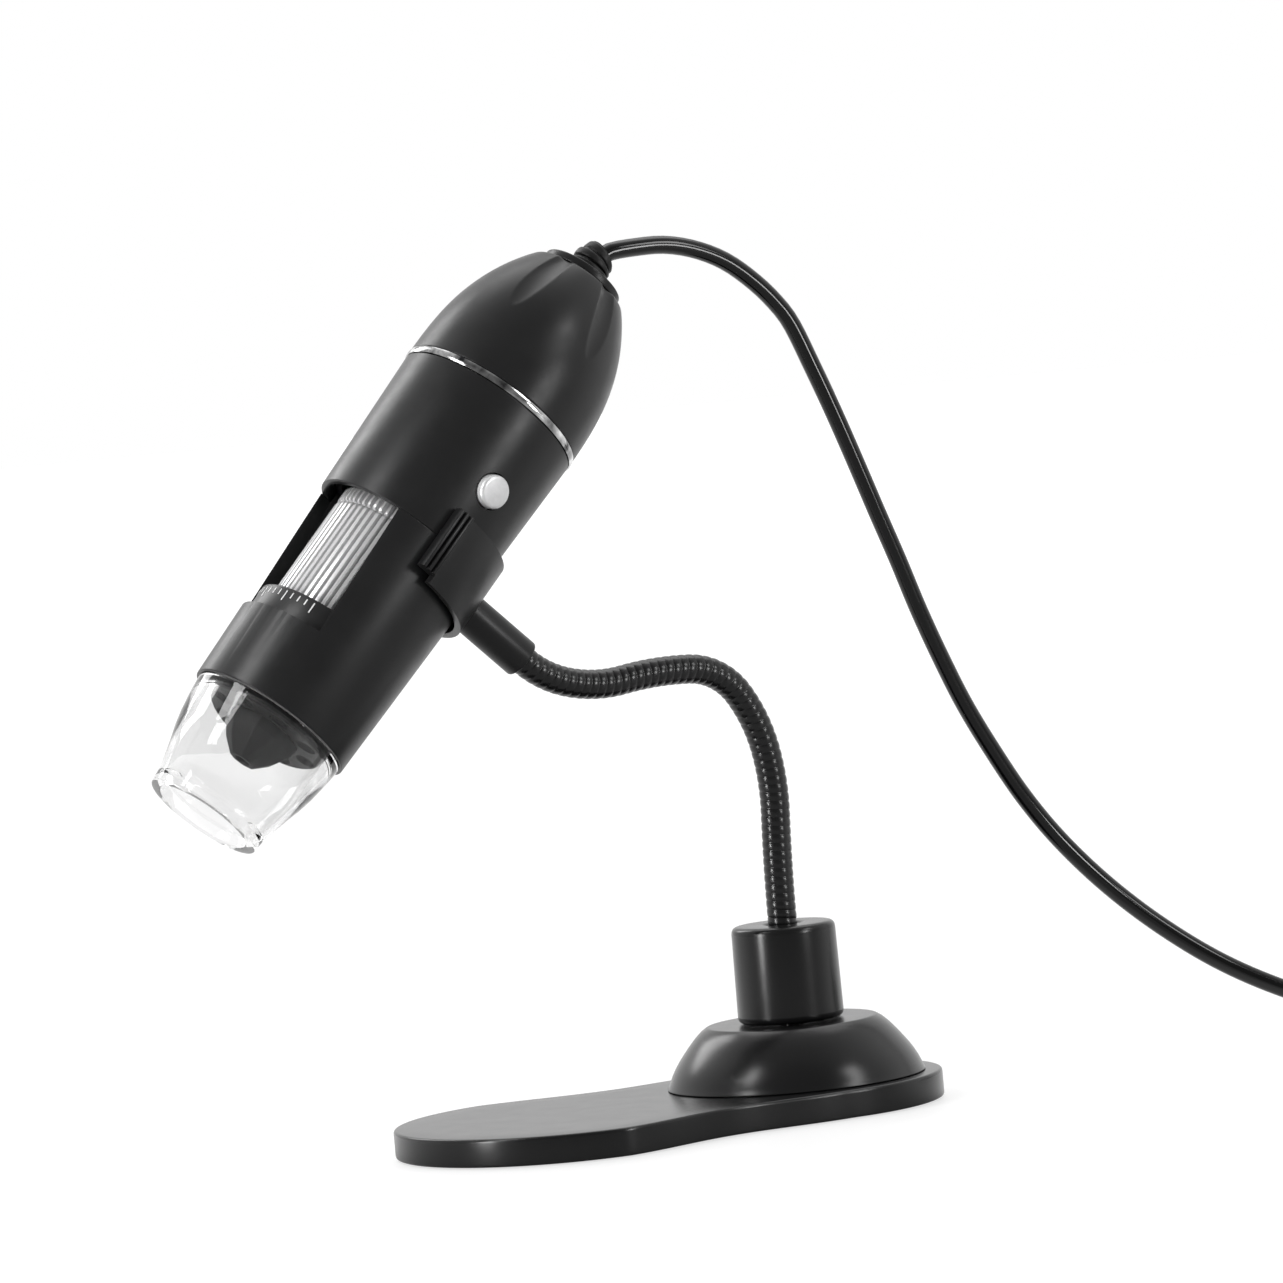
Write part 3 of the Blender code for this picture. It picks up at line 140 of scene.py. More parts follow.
# Tail, cap, relief, trim ring
RING_RADIUS = 16.5 * MM
RING_WIDTH = 1.3 * MM
RING_BULGE = 0.1 * MM
TAIL_LENGTH = 27.1 * MM
TAIL_ROOT_RADIUS = 16.35 * MM
TAIL_END_RADIUS = 8.65 * MM
TAIL_POWER = 2.7
TAIL_WALL = 2.4 * MM
TAIL_ROWS = 70
TAIL_SIDES = 360
TAIL_RIM = 0.8 * MM
FLUTE_COUNT = 6
FLUTE_PHASE = math.radians(32.0)
FLUTE_DEPTH = 0.9 * MM
FLUTE_POWER = 0.7
FLUTE_START_SHARE = 0.487
FLUTE_HALF_WIDTH = math.radians(10.5)
CAP_RADIUS = 7.3 * MM
CAP_THICKNESS = 1.3 * MM
CAP_EDGE = 0.35 * MM
CAP_SPIGOT_RADIUS = 5.5 * MM
CAP_SPIGOT_LENGTH = 3.0 * MM
RELIEF_SHANK_RADIUS = 2.0 * MM
RELIEF_FOOT_RADIUS = 3.75 * MM
RELIEF_FOOT_LENGTH = 1.4 * MM
RELIEF_NECK_RADIUS = 2.9 * MM
RELIEF_NECK_LENGTH = 0.4 * MM
RELIEF_FIN_RADIUS = 3.5 * MM
RELIEF_TOP_FIN_RADIUS = 3.15 * MM
RELIEF_FIN_LENGTH = 1.05 * MM
RELIEF_TIP_LENGTH = 0.25 * MM
RELIEF_ROUNDING = 0.3 * MM
RELIEF_BEND = math.radians(24.0)

# Barrel, window, band, wheel
BARREL_ROOT_RADIUS = 16.3 * MM
BARREL_RIM_RADIUS = 14.35 * MM
BARREL_LENGTH = 65.5 * MM
BARREL_SPLIT = 27.0 * MM
BARREL_EDGE = 0.25 * MM
UPPER_BORE = 14.3 * MM
SPIGOT_WALL = 1.3 * MM
LOWER_SPIGOT_LENGTH = 5.65 * MM
PARTITION_TOP = 47.2 * MM
PARTITION_BOTTOM = 52.0 * MM
PARTITION_BORE = 10.5 * MM
LAMP_BORE = 11.8 * MM
LAMP_STEP = 60.3 * MM
RIM_BORE = 12.6 * MM
WINDOW_HALF_WIDTH = 11.6 * MM
WINDOW_DEPTH = 4.87 * MM
WINDOW_EDGE = 0.12 * MM
BAND_WIDTH = 4.5 * MM
BAND_THICKNESS = 0.5 * MM
BAND_FLOOR = 12.85 * MM
BAND_INNER = BAND_FLOOR + GAP
BAND_OUTER = BAND_INNER + BAND_THICKNESS
TICK_HEIGHT = 0.05 * MM
TICK_WIDTH = 0.22 * MM
TICK_LENGTH = 1.1 * MM
TICK_LONG = 1.9 * MM
TICK_COUNT = 13
TICK_LONG_EVERY = 4
TICK_PITCH = math.radians(6.2)
WHEEL_RADIUS = 11.8 * MM
WHEEL_RIDGES = 60
WHEEL_STEPS = 12
WHEEL_GROOVE_DEPTH = 0.9 * MM
WHEEL_GROOVE_SHARE = 0.19
WHEEL_OVERLAP = 1.6 * MM
WHEEL_COMB = 1.0 * MM
WHEEL_COMB_SHARE = 0.3
WHEEL_RING = 0.45 * MM
WHEEL_RING_DEPTH = 0.7 * MM
WHEEL_EDGE = 0.5 * MM
CARRIAGE_RADIUS = 8.3 * MM

# Button
BUTTON_PLACE = 15.2 * MM
BUTTON_RADIUS = 2.85 * MM
BUTTON_PROUD = 1.1 * MM
BUTTON_EDGE = 0.7 * MM
BUTTON_FLANGE_RADIUS = 3.6 * MM
BUTTON_FLANGE_OUT = 13.5 * MM
BUTTON_FLANGE_THICKNESS = 0.6 * MM
BUTTON_FRAME = Matrix.Translation((0, 0, -BUTTON_PLACE)) @ Matrix.Rotation(math.pi / 2, 4, "X")

# Snout and nose cone
SNOUT_RADIUS = 13.85 * MM
SNOUT_LENGTH = 19.2 * MM
SNOUT_WALL = 1.05 * MM
SNOUT_SPIGOT_WALL = 1.1 * MM
SNOUT_SPIGOT_LENGTH = 2.3 * MM
SNOUT_LIP_RADIUS = 10.2 * MM
SNOUT_LIP_LENGTH = 2.6 * MM
SNOUT_MOUTH_RADIUS = 8.3 * MM
SNOUT_MOUTH_LENGTH = 2.0 * MM
SNOUT_EDGE = 0.3 * MM
SNOUT_WIDTH_SHARES = ((0.0, 1.0), (0.2, 0.9), (0.4, 0.76), (0.55, 0.6), (0.7, 0.4), (0.85, 0.22),
                      (1.0, 0.06))
BOARD_THICKNESS = 1.2 * MM
LAMP_COUNT = 8
SHROUD_BORE = 6.5 * MM
SHROUD_DEPTH = 4.5 * MM
NOSE_SIDES = 8
NOSE_FLANGE_RADIUS = 6.6 * MM
NOSE_LENGTH = 6.5 * MM
NOSE_TIP_RADIUS = 2.4 * MM
NOSE_TIP_BORE = 1.5 * MM
NOSE_BORE = 4.0 * MM
NOSE_EDGE = 0.2 * MM
NOSE_SHARES = ((0.0, 1.0), (0.25, 0.955), (0.6, 0.74))

# Clip and sleeve
CLIP_BORE = 16.03 * MM
CLIP_THICKNESS = 1.2 * MM
CLIP_TOP = 21.6 * MM
CLIP_WIDTH = 13.0 * MM
CLIP_LIP_HEIGHT = 1.2 * MM
CLIP_WRAP = math.radians(92.5)
CLIP_LIP_CUT = 1.4 * MM
CLIP_EDGE = 0.28 * MM
CLIP_LIP_START_SHARE = 0.892
CLIP_RIDGES = 3
CLIP_RIDGE_SHARES = ((0.0, 0.35), (0.1, 0.7), (0.25, 0.94), (0.5, 1.0), (0.75, 0.94), (0.9, 0.7))
SLEEVE_RADIUS = 3.375 * MM
SLEEVE_PLACE = 29.0 * MM
SLEEVE_LENGTH = 13.0 * MM
SLEEVE_BORE_DEPTH = 8.0 * MM
SLEEVE_EDGE = 0.4 * MM

# Gooseneck
NECK_LENGTH = 83.7 * MM
NECK_STRETCH_SHARES = (0.2241, 0.1302, 0.1299, 0.1298, 0.1509, 0.1297, 0.1054)
NECK_TURNS = (-3.3, 14.8, 22.2, 52.3, 12.2, -25.2, -26.7)
NECK_CREST = 2.5 * MM
NECK_VALLEY = 2.33 * MM
NECK_RIB_POWER = 0.4
NECK_RIB = 1.43 * MM
NECK_STUB = 7.0 * MM
NECK_SIDES = 40
NECK_STEPS = 12

# Stand
PAD_INSET = 3.0 * MM
PAD_PROUD = 0.2 * MM
PLATE_TOP = 4.93 * MM
PLATE_NEAR_RADIUS = 24.8 * MM
PLATE_FAR_RADIUS = 29.0 * MM
PLATE_REACH = 44.2 * MM
PLATE_WAIST_SHARE = 0.118
PLATE_EDGE = 0.6 * MM
DOME_RADIUS = 22.1 * MM
DOME_TOP_RADIUS = 14.45 * MM
DOME_TOP = 15.1 * MM
DOME_WALL = 2.2 * MM
DOME_EDGE = 0.35 * MM
DOME_SHARES = ((0.0, 1.0), (0.14, 0.93), (0.28, 0.83), (0.43, 0.70), (0.55, 0.585), (0.66, 0.475),
               (0.77, 0.35), (0.86, 0.225), (0.92, 0.12), (0.96, 0.05), (1.0, 0.0))
POST_RADIUS = 9.05 * MM
POST_TOP_RADIUS = 8.85 * MM
POST_TOP = 31.7 * MM
POST_ROUNDING = 1.3 * MM
POST_STUB_RADIUS = 6.0 * MM

# Cable, the places that part its lead, its coil and its plug
CABLE = 3.1 * MM
CABLE_STEP = 0.55 * CABLE
CABLE_SIDES = 20
LEAD_SHARES = (0.0, 0.125, 0.25, 0.396, 0.521, 0.646, 1.0)
LEAD_ROUTE = tuple(Vector(point) * MM for point in (
    (-16.1, 0, 148.15), (-10.8, 0, 148.1), (-5.2, 0, 146.9), (0.5, 0, 144.4), (5.9, 0, 140.3),
    (9.4, 0, 136.7), (11.75, 0, 133.5), (15.54, 0, 125.0), (19.06, 0, 116.4), (22.29, 0, 107.9),
    (25.43, 0, 99.4), (28.69, 0, 90.8), (31.75, 0, 82.2), (35.22, 0, 73.6), (39.19, 0, 64.8),
    (43.9, -0.2, 56.1), (49.0, -0.6, 47.6), (54.6, -1.8, 39.6), (61.8, -4.2, 31.0), (70.0, -7.8, 22.8),
    (79.0, -12.6, 15.4), (89.0, -18.2, 9.4), (100.0, -23.2, 4.9), (111.0, -26.0, 2.6),
    (123.0, -26.6, 1.65)))
COIL_CENTRE = Vector((140.0, 0.0, 0.0)) * MM
COIL_INNER = 10.2 * MM
COIL_PITCH = 4.1 * MM
COIL_LAYER = CABLE + 0.5 * MM
COIL_LIFT = 0.02 * MM
COIL_TURNS = 4.0
COIL_CLIMB_TURNS = 0.5
COIL_TOP_TURNS = 3.5
COIL_POINTS = 64
PLUG_PLACE = 33.0 * MM
PLUG_HEIGHT = 7.8 * MM
PLUG_RUN_STEPS = 16
PLUG_RUN_FLAT_SHARE = 0.4
CURVE_STEPS = 20


# Camera, lights and stage

def add(name, data):
    thing = bpy.data.objects.new(name, data)
    bpy.context.scene.collection.objects.link(thing)
    return thing


def camera():
    made = bpy.data.cameras.new("camera")
    made.lens = CAMERA_LENS
    made.sensor_width = CAMERA_SENSOR
    made.clip_end = CAMERA_FAR
    thing = add("camera", made)
    forward = CAMERA_FORWARD.normalized()
    right = CAMERA_RIGHT.normalized()
    turn = Matrix((right, right.cross(forward), -forward)).transposed().to_4x4()
    thing.matrix_world = Matrix.Translation(CAMERA_PLACE) @ turn
    bpy.context.scene.camera = thing


def area_light(name, aim, turn, rise, away, size, power):
    """A soft box that faces its aim, turned about it from the camera's side and raised, in degrees."""
    side = -CAMERA_FORWARD.copy()
    side.z = 0
    level = Matrix.Rotation(math.radians(turn), 3, "Z") @ side.normalized()
    heading = level * math.cos(math.radians(rise)) + Vector((0, 0, math.sin(math.radians(rise))))
    made = bpy.data.lights.new(name, "AREA")
    made.shape = "RECTANGLE"
    made.size, made.size_y = size
    made.energy = power
    thing = add(name, made)
    thing.location = Vector((aim[0], 0, aim[1])) + heading * away
    thing.rotation_euler = (-heading).to_track_quat("-Z", "Y").to_euler()


def lights():
    for box_of_light in SOFT_BOXES:
        area_light(*box_of_light)


def together(tree, how, one, two):
    """Two values as one, by the sum that is named."""
    made = tree.nodes.new("ShaderNodeMath")
    made.operation = how
    tree.links.new(one, made.inputs[0])
    tree.links.new(two, made.inputs[1])
    return made.outputs[0]


def spread(tree, value, span, result, course="LINEAR"):
    """A value carried over from one span to another."""
    made = tree.nodes.new("ShaderNodeMapRange")
    made.interpolation_type = course
    made.inputs["From Min"].default_value, made.inputs["From Max"].default_value = span
    made.inputs["To Min"].default_value, made.inputs["To Max"].default_value = result
    tree.links.new(value, made.inputs["Value"])
    return made.outputs["Result"]


def seen_rays(tree, *kinds):
    """The greatest of these outputs of the light path."""
    path = tree.nodes.new("ShaderNodeLightPath")
    found = path.outputs[kinds[0]]
    for kind in kinds[1:]:
        found = together(tree, "MAXIMUM", found, path.outputs[kind])
    return found


def studio(tree, heading):
    """White behind and beside the object, dim on the camera's side of it."""
    front = tree.nodes.new("ShaderNodeVectorMath")
    front.operation = "DOT_PRODUCT"
    front.inputs[1].default_value = -CAMERA_FORWARD
    tree.links.new(heading, front.inputs[0])
    fade = spread(tree, front.outputs["Value"], STUDIO_FADE, (1.0, STUDIO_FRONT), "SMOOTHSTEP")
    shown = together(tree, "MULTIPLY", seen_rays(tree, "Is Glossy Ray"), fade)
    matt = spread(tree, seen_rays(tree, "Diffuse Depth"), (0.0, 1.0), (1.0, STUDIO_LIGHT))
    straight = seen_rays(tree, "Is Camera Ray", "Is Transmission Ray")
    return together(tree, "MAXIMUM", together(tree, "MULTIPLY", straight, matt), shown)


def world():
    """White where the camera looks, the studio where gloss looks, and an even light elsewhere."""
    made = bpy.data.worlds.new("studio")
    bpy.context.scene.world = made
    made.use_nodes = True
    nodes, links = made.node_tree.nodes, made.node_tree.links
    nodes.clear()
    out = nodes.new("ShaderNodeOutputWorld")
    place = nodes.new("ShaderNodeTexCoord")
    seen = nodes.new("ShaderNodeBackground")
    links.new(studio(made.node_tree, place.outputs["Generated"]), seen.inputs["Strength"])
    light = nodes.new("ShaderNodeBackground")
    light.inputs["Strength"].default_value = STUDIO_LIGHT
    mix = nodes.new("ShaderNodeMixShader")
    looks = seen_rays(made.node_tree, "Is Camera Ray", "Is Glossy Ray", "Is Transmission Ray")
    links.new(looks, mix.inputs[0])
    for background, socket in ((light, 1), (seen, 2)):
        background.inputs["Color"].default_value = WHITE
        links.new(background.outputs[0], mix.inputs[socket])
    links.new(mix.outputs[0], out.inputs[0])


def floor():
    """A round table top that glows like the studio behind it."""
    corners = circle(FLOOR_RADIUS, FINE)
    mesh = bpy.data.meshes.new("floor")
    mesh.from_pydata([(x, y, 0) for x, y in corners], [], [tuple(range(len(corners)))])
    thing = add("floor", mesh)
    made = plain("floor", FLOOR_COLOUR, FLOOR_ROUGH)
    nodes, links = made.node_tree.nodes, made.node_tree.links
    glow = nodes.new("ShaderNodeEmission")
    place = nodes.new("ShaderNodeTexCoord")
    heading = nodes.new("ShaderNodeVectorMath")
    heading.operation = "NORMALIZE"
    links.new(place.outputs["Object"], heading.inputs[0])
    away = nodes.new("ShaderNodeVectorMath")
    away.operation = "LENGTH"
    links.new(place.outputs["Object"], away.inputs[0])
    fade = spread(made.node_tree, away.outputs["Value"], FLOOR_FADE, FLOOR_GLOW)
    behind = studio(made.node_tree, heading.outputs["Vector"])
    links.new(together(made.node_tree, "MULTIPLY", behind, fade), glow.inputs["Strength"])
    both = nodes.new("ShaderNodeAddShader")
    links.new(nodes["Principled BSDF"].outputs[0], both.inputs[0])
    links.new(glow.outputs[0], both.inputs[1])
    links.new(both.outputs[0], nodes["Material Output"].inputs["Surface"])
    mesh.materials.append(made)


# Materials

def plain(name, colour, rough, metal=0.0, clear=0.0, index=1.46):
    made = bpy.data.materials.new(name)
    made.use_nodes = True
    sockets = made.node_tree.nodes["Principled BSDF"].inputs
    for socket, value in (("Base Color", (*colour, 1)), ("Roughness", rough), ("Metallic", metal),
                          ("Transmission Weight", clear), ("IOR", index)):
        sockets[socket].default_value = value
    return made


def noise(made, scale, detail, stretch=(1, 1, 1)):
    """A noise texture on the object's own coordinates, stretched along each axis."""
    nodes, links = made.node_tree.nodes, made.node_tree.links
    place = nodes.new("ShaderNodeTexCoord")
    drawn = nodes.new("ShaderNodeMapping")
    drawn.inputs["Scale"].default_value = stretch
    cloud = nodes.new("ShaderNodeTexNoise")
    cloud.inputs["Scale"].default_value = scale
    cloud.inputs["Detail"].default_value = detail
    links.new(place.outputs["Object"], drawn.inputs["Vector"])
    links.new(drawn.outputs["Vector"], cloud.inputs["Vector"])
    return cloud.outputs["Fac"]


def vary(made, fac, low, high):
    """Drives the roughness between two values."""
    tree = made.node_tree
    rough = spread(tree, fac, NOISE_SPAN, (low, high))
    tree.links.new(rough, tree.nodes["Principled BSDF"].inputs["Roughness"])


def tint(made, fac, *colours):
    nodes, links = made.node_tree.nodes, made.node_tree.links
    ramp = nodes.new("ShaderNodeValToRGB")
    for element, position, colour in zip(ramp.color_ramp.elements, NOISE_SPAN, colours):
        element.position = position
        element.color = (*colour, 1)
    links.new(fac, ramp.inputs["Fac"])
    links.new(ramp.outputs["Color"], nodes["Principled BSDF"].inputs["Base Color"])


def bump(made, fac, strength, depth):
    nodes, links = made.node_tree.nodes, made.node_tree.links
    relief = nodes.new("ShaderNodeBump")
    relief.inputs["Strength"].default_value = strength
    relief.inputs["Distance"].default_value = depth
    links.new(fac, relief.inputs["Height"])
    links.new(relief.outputs["Normal"], nodes["Principled BSDF"].inputs["Normal"])


def moulded(name, dark, light, rough, grain, finish):
    """Moulded plastic: a fine spark-eroded grain, faint colour and gloss changes."""
    gloss, patchy = finish
    made = plain(name, dark, rough)
    made.node_tree.nodes["Principled BSDF"].inputs["Specular IOR Level"].default_value = gloss
    tint(made, noise(made, 90.0, 3.0), dark, light)
    vary(made, noise(made, 260.0, 4.0), rough - patchy, rough + patchy)
    bump(made, noise(made, 5200.0, 2.0), 0.25, grain)
    return made


def chrome():
    made = plain("chrome_plate", (0.86, 0.87, 0.88), 0.10, metal=1.0)
    # The tint paints a mottle of dark and bright patches into the plating's colour: painted reflection.
    tint(made, noise(made, 330.0, 4.0), (0.03, 0.03, 0.032), (0.95, 0.95, 0.95))
    vary(made, noise(made, 700.0, 4.0), 0.06, 0.2)
    return made


def turned_aluminium():
    """Its noise is drawn out along z, so it runs with the wheel's ribs."""
    made = plain("turned_aluminium", (0.60, 0.61, 0.62), 0.28, metal=0.3)
    # The tint paints some ribs brighter and others darker: partly the metal's turned tone, partly painted
    # reflection.
    tint(made, noise(made, 420.0, 2.0, (1, 1, 0.03)), (0.48, 0.48, 0.49), (0.68, 0.68, 0.68))
    vary(made, noise(made, 900.0, 3.0, (1, 1, 0.04)), 0.18, 0.32)
    return made


def blasted_aluminium():
    made = plain("blasted_aluminium", (0.78, 0.78, 0.79), 0.36, metal=0.4)
    tint(made, noise(made, 800.0, 3.0), (0.74, 0.74, 0.745), (0.82, 0.82, 0.825))
    bump(made, noise(made, 6000.0, 2.0), 0.3, GRAIN)
    return made


def plated_steel():
    made = plain("plated_steel", (0.62, 0.62, 0.63), 0.25, metal=1.0)
    vary(made, noise(made, 600.0, 4.0), 0.18, 0.34)
    return made


def cast_iron():
    made = plain("cast_iron", (0.12, 0.12, 0.125), 0.6, metal=0.9)
    bump(made, noise(made, 900.0, 4.0), 0.4, IRON_GRAIN)
    return made


def clear_plastic():
    """A low index bends little light, as in a thin wall; the coat carries the gloss."""
    made = plain("clear_plastic", (0.90, 0.90, 0.90), 0.02, clear=1.0, index=1.22)
    sockets = made.node_tree.nodes["Principled BSDF"].inputs
    sockets["Coat Weight"].default_value = 0.45
    sockets["Coat Roughness"].default_value = 0.02
    vary(made, noise(made, 300.0, 3.0), 0.01, 0.035)
    return made


def lamp_epoxy():
    made = plain("lamp_epoxy", (0.9, 0.9, 0.88), 0.12, clear=0.1, index=1.5)
    vary(made, noise(made, 900.0, 2.0), 0.08, 0.2)
    return made


def materials():
    made = {look: moulded(*values) for look, values in PLASTICS.items()}
    made.update(chrome=chrome(), aluminium=turned_aluminium(), button=blasted_aluminium(),
                steel=plated_steel(), iron=cast_iron(), clear=clear_plastic(), lamp=lamp_epoxy())
    return made


# Mesh helpers

def shade(thing, angle=32.0):
    for face in thing.data.polygons:
        face.use_smooth = True
    thing.data.set_sharp_from_angle(angle=math.radians(angle))


def piece(name, points, faces, material, angle=32.0):
    mesh = bpy.data.meshes.new(name)
    mesh.from_pydata([tuple(point) for point in points], [], faces)
    shape = bmesh.new()
    shape.from_mesh(mesh)
    bmesh.ops.remove_doubles(shape, verts=shape.verts, dist=MERGE)
    bmesh.ops.recalc_face_normals(shape, faces=shape.faces)
    shape.to_mesh(mesh)
    shape.free()
    mesh.materials.append(LOOK[material])
    thing = add(name, mesh)
    shade(thing, angle)
    return thing


def rounded(outline, size, steps=4, closed=True):
    """The outline with each of its corners rounded off to about that size."""
    made = []
    last = len(outline) - 1
    for k, corner in enumerate(outline):
        middle = Vector(corner)
        if not closed and k in (0, last):
            made.append(corner)
            continue
        before = Vector(outline[k - 1]) - middle
        after = Vector(outline[(k + 1) % len(outline)]) - middle
        if before.angle(after) > NEARLY_STRAIGHT:
            made.append(corner)
            continue
        start = middle + before.normalized() * min(size, before.length / 2)
        end = middle + after.normalized() * min(size, after.length / 2)
        for step in range(steps + 1):
            share = step / steps
            made.append(tuple(start.lerp(middle, share).lerp(middle.lerp(end, share), share)))
    return made


def ring_faces(rows, count, closed=False):
    """Faces between rings of points; closed, the last ring also meets the first."""
    faces = []
    for row in range(rows if closed else rows - 1):
        low = (row + 1) % rows
        for k in range(count):
            side = (k + 1) % count
            faces.append((row * count + k, row * count + side, low * count + side, low * count + k))
    return faces


def lathe(name, outline, material, steps=FINE, angle=32.0, closed=True, carve=None):
    """A turned piece about z: (radius, z) pairs down the outer side and back up the inner one."""
    points = []
    for radius, height in outline:
        for k in range(steps):
            turn = math.tau * k / steps
            wide = carve(radius, height, turn) if carve else radius
            points.append((wide * math.cos(turn), wide * math.sin(turn), height))
    faces = ring_faces(len(outline), steps, closed)
    return piece(name, points, faces, material, angle)


def prism(name, outline, low, high, material):
    """A flat outline, drawn up from one height to another."""
    count = len(outline)
    points = [(x, y, low) for x, y in outline] + [(x, y, high) for x, y in outline]
    faces = ring_faces(2, count) + [tuple(range(count)), tuple(range(count, 2 * count))]
    return piece(name, points, faces, material)


def box(name, size, centre, material):
    wide, deep, tall = [edge / 2 for edge in size]
    outline = [(centre[0] + x, centre[1] + y) for x, y in
               ((-wide, -deep), (wide, -deep), (wide, deep), (-wide, deep))]
    return prism(name, outline, centre[2] - tall, centre[2] + tall, material)


def circle(radius, count):
    turns = [math.tau * k / count for k in range(count)]
    return [(radius * math.cos(turn), radius * math.sin(turn)) for turn in turns]


def cut(thing, tool, how="DIFFERENCE"):
    """Cuts one piece with another, which goes away."""
    change = thing.modifiers.new("cut", "BOOLEAN")
    change.operation = how
    change.object = tool
    change.solver = "EXACT"
    settle(thing)
    bpy.data.objects.remove(tool, do_unlink=True)


def bevel(thing, width, angle=40.0, segments=3):
    change = thing.modifiers.new("edges", "BEVEL")
    change.width = width
    change.segments = segments
    change.limit_method = "ANGLE"
    change.angle_limit = math.radians(angle)
    settle(thing)


def settle(thing):
    """Makes the modifiers' result the piece's own mesh."""
    bpy.context.view_layer.update()
    found = thing.evaluated_get(bpy.context.evaluated_depsgraph_get())
    mesh = bpy.data.meshes.new_from_object(found)
    thing.modifiers.clear()
    thing.data = mesh
    shade(thing)


def put(thing, where, body, *nodes):
    """Puts a piece in its place, on its body, instead of CAD nodes."""
    thing.matrix_world = where
    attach(thing, body)
    if nodes:
        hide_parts(*nodes)
    return thing


def frames(line):
    """A tangent and two normals at each point of a line, without needless twist."""
    made = []
    side = Vector((0, 1, 0))
    for k in range(len(line)):
        before = line[max(k - 1, 0)]
        after = line[min(k + 1, len(line) - 1)]
        along = (after - before).normalized()
        side = (side - along * side.dot(along)).normalized()
        made.append((along, side, along.cross(side)))
    return made


def pipe(name, line, axes, radius, material, sides, ends=(True, True), angle=40.0):
    """A tube along a line. The radius is a number, or a function of the point's index and the angle."""
    points = []
    for k, (point, (_, one, two)) in enumerate(zip(line, axes)):
        for j in range(sides):
            turn = math.tau * j / sides
            wide = radius(k, turn) if callable(radius) else radius
            points.append(point + (one * math.cos(turn) + two * math.sin(turn)) * wide)
    faces = ring_faces(len(line), sides)
    if ends[0]:
        faces.append(tuple(range(sides)))
    if ends[1]:
        faces.append(tuple(range((len(line) - 1) * sides, len(line) * sides)))
    return piece(name, points, faces, material, angle)


# Cable

def smooth_line(points, step):
    """Points a step apart on a centripetal Catmull-Rom curve through the route's own points."""
    padded = [2 * points[0] - points[1], *points, 2 * points[-1] - points[-2]]
    dense = []
    for a, b, c, d in zip(padded, padded[1:], padded[2:], padded[3:]):
        knots = [0.0]
        for one, two in ((a, b), (b, c), (c, d)):
            knots.append(knots[-1] + math.sqrt((two - one).length))
        for k in range(CURVE_STEPS):
            now = knots[1] + (knots[2] - knots[1]) * k / CURVE_STEPS
            spots = [a, b, c, d]
            for first, last in (((0, 1, 2), (1, 2, 3)), ((0, 1), (2, 3)), ((1,), (2,))):
                shares = [(now - knots[low]) / (knots[high] - knots[low]) for low, high in zip(first, last)]
                spots = [one.lerp(two, share) for one, two, share in zip(spots, spots[1:], shares)]
            dense.append(spots[0])
    dense.append(points[-1])
    lengths = [0.0]
    for one, two in zip(dense, dense[1:]):
        lengths.append(lengths[-1] + (two - one).length)
    count = round(lengths[-1] / step)
    line = []
    place_in = 0
    for k in range(count + 1):
        wanted = lengths[-1] * k / count
        while place_in < len(lengths) - 2 and lengths[place_in + 1] < wanted:
            place_in += 1
        part = (wanted - lengths[place_in]) / (lengths[place_in + 1] - lengths[place_in])
        line.append(dense[place_in].lerp(dense[place_in + 1], part))
    return line


def coil_line():
    """Turns that spiral in on the table, climb a layer, spiral out again above and run on into the plug."""
    low = CABLE / 2 + COIL_LIFT
    outer = COIL_INNER + COIL_PITCH * COIL_TURNS
    total = COIL_TURNS + COIL_CLIMB_TURNS + COIL_TOP_TURNS
    points = []
    for k in range(round(total * COIL_POINTS) + 1):
        turns = k / COIL_POINTS
        climbed = min(max((turns - COIL_TURNS) / COIL_CLIMB_TURNS, 0), 1)
        if turns <= COIL_TURNS:
            radius = outer - COIL_PITCH * turns
        else:
            radius = COIL_INNER + COIL_PITCH * max(turns - COIL_TURNS - COIL_CLIMB_TURNS, 0)
        angle = math.tau * turns - math.pi / 2
        points.append(COIL_CENTRE + Vector((radius * math.cos(angle), radius * math.sin(angle),
                                            low + COIL_LAYER * climbed)))
    last = points[-1]
    entry = COIL_CENTRE.x + PLUG_PLACE
    for k in range(1, PLUG_RUN_STEPS + 1):
        share = k / PLUG_RUN_STEPS
        eased = max(0, share - PLUG_RUN_FLAT_SHARE) / (1 - PLUG_RUN_FLAT_SHARE)
        fall = eased * eased * (3 - 2 * eased)
        points.append(Vector((last.x + (entry - last.x) * share, last.y,
                              last.z + (PLUG_HEIGHT / 2 - last.z) * fall)))
    return points


def relief_stations():
    """(distance, radius) of the strain relief from the cap outwards, and where its bend starts and ends."""
    foot = TAIL_LENGTH + GAP + CAP_THICKNESS + GAP
    neck = (RELIEF_NECK_RADIUS, RELIEF_NECK_LENGTH)
    stations = [(foot - CAP_SPIGOT_LENGTH, RELIEF_SHANK_RADIUS), (foot, RELIEF_SHANK_RADIUS)]
    along = foot
    for radius, length in ((RELIEF_FOOT_RADIUS, RELIEF_FOOT_LENGTH), neck,
                           (RELIEF_FIN_RADIUS, RELIEF_FIN_LENGTH), neck,
                           (RELIEF_TOP_FIN_RADIUS, RELIEF_FIN_LENGTH),
                           (RELIEF_NECK_RADIUS, RELIEF_TIP_LENGTH)):
        stations.append((along, radius))
        stations.append((along + length, radius))
        along += length
    return stations, foot + RELIEF_FOOT_LENGTH, along


def relief_point(along, bend_start, end):
    """Place and heading on the strain relief's centre line, which bends towards +x."""
    if along <= bend_start:
        return Vector((0, 0, along)), 0
    angle = RELIEF_BEND * (along - bend_start) / (end - bend_start)
    bend = (end - bend_start) / RELIEF_BEND
    return Vector((bend * (1 - math.cos(angle)), 0, bend_start + bend * math.sin(angle))), angle


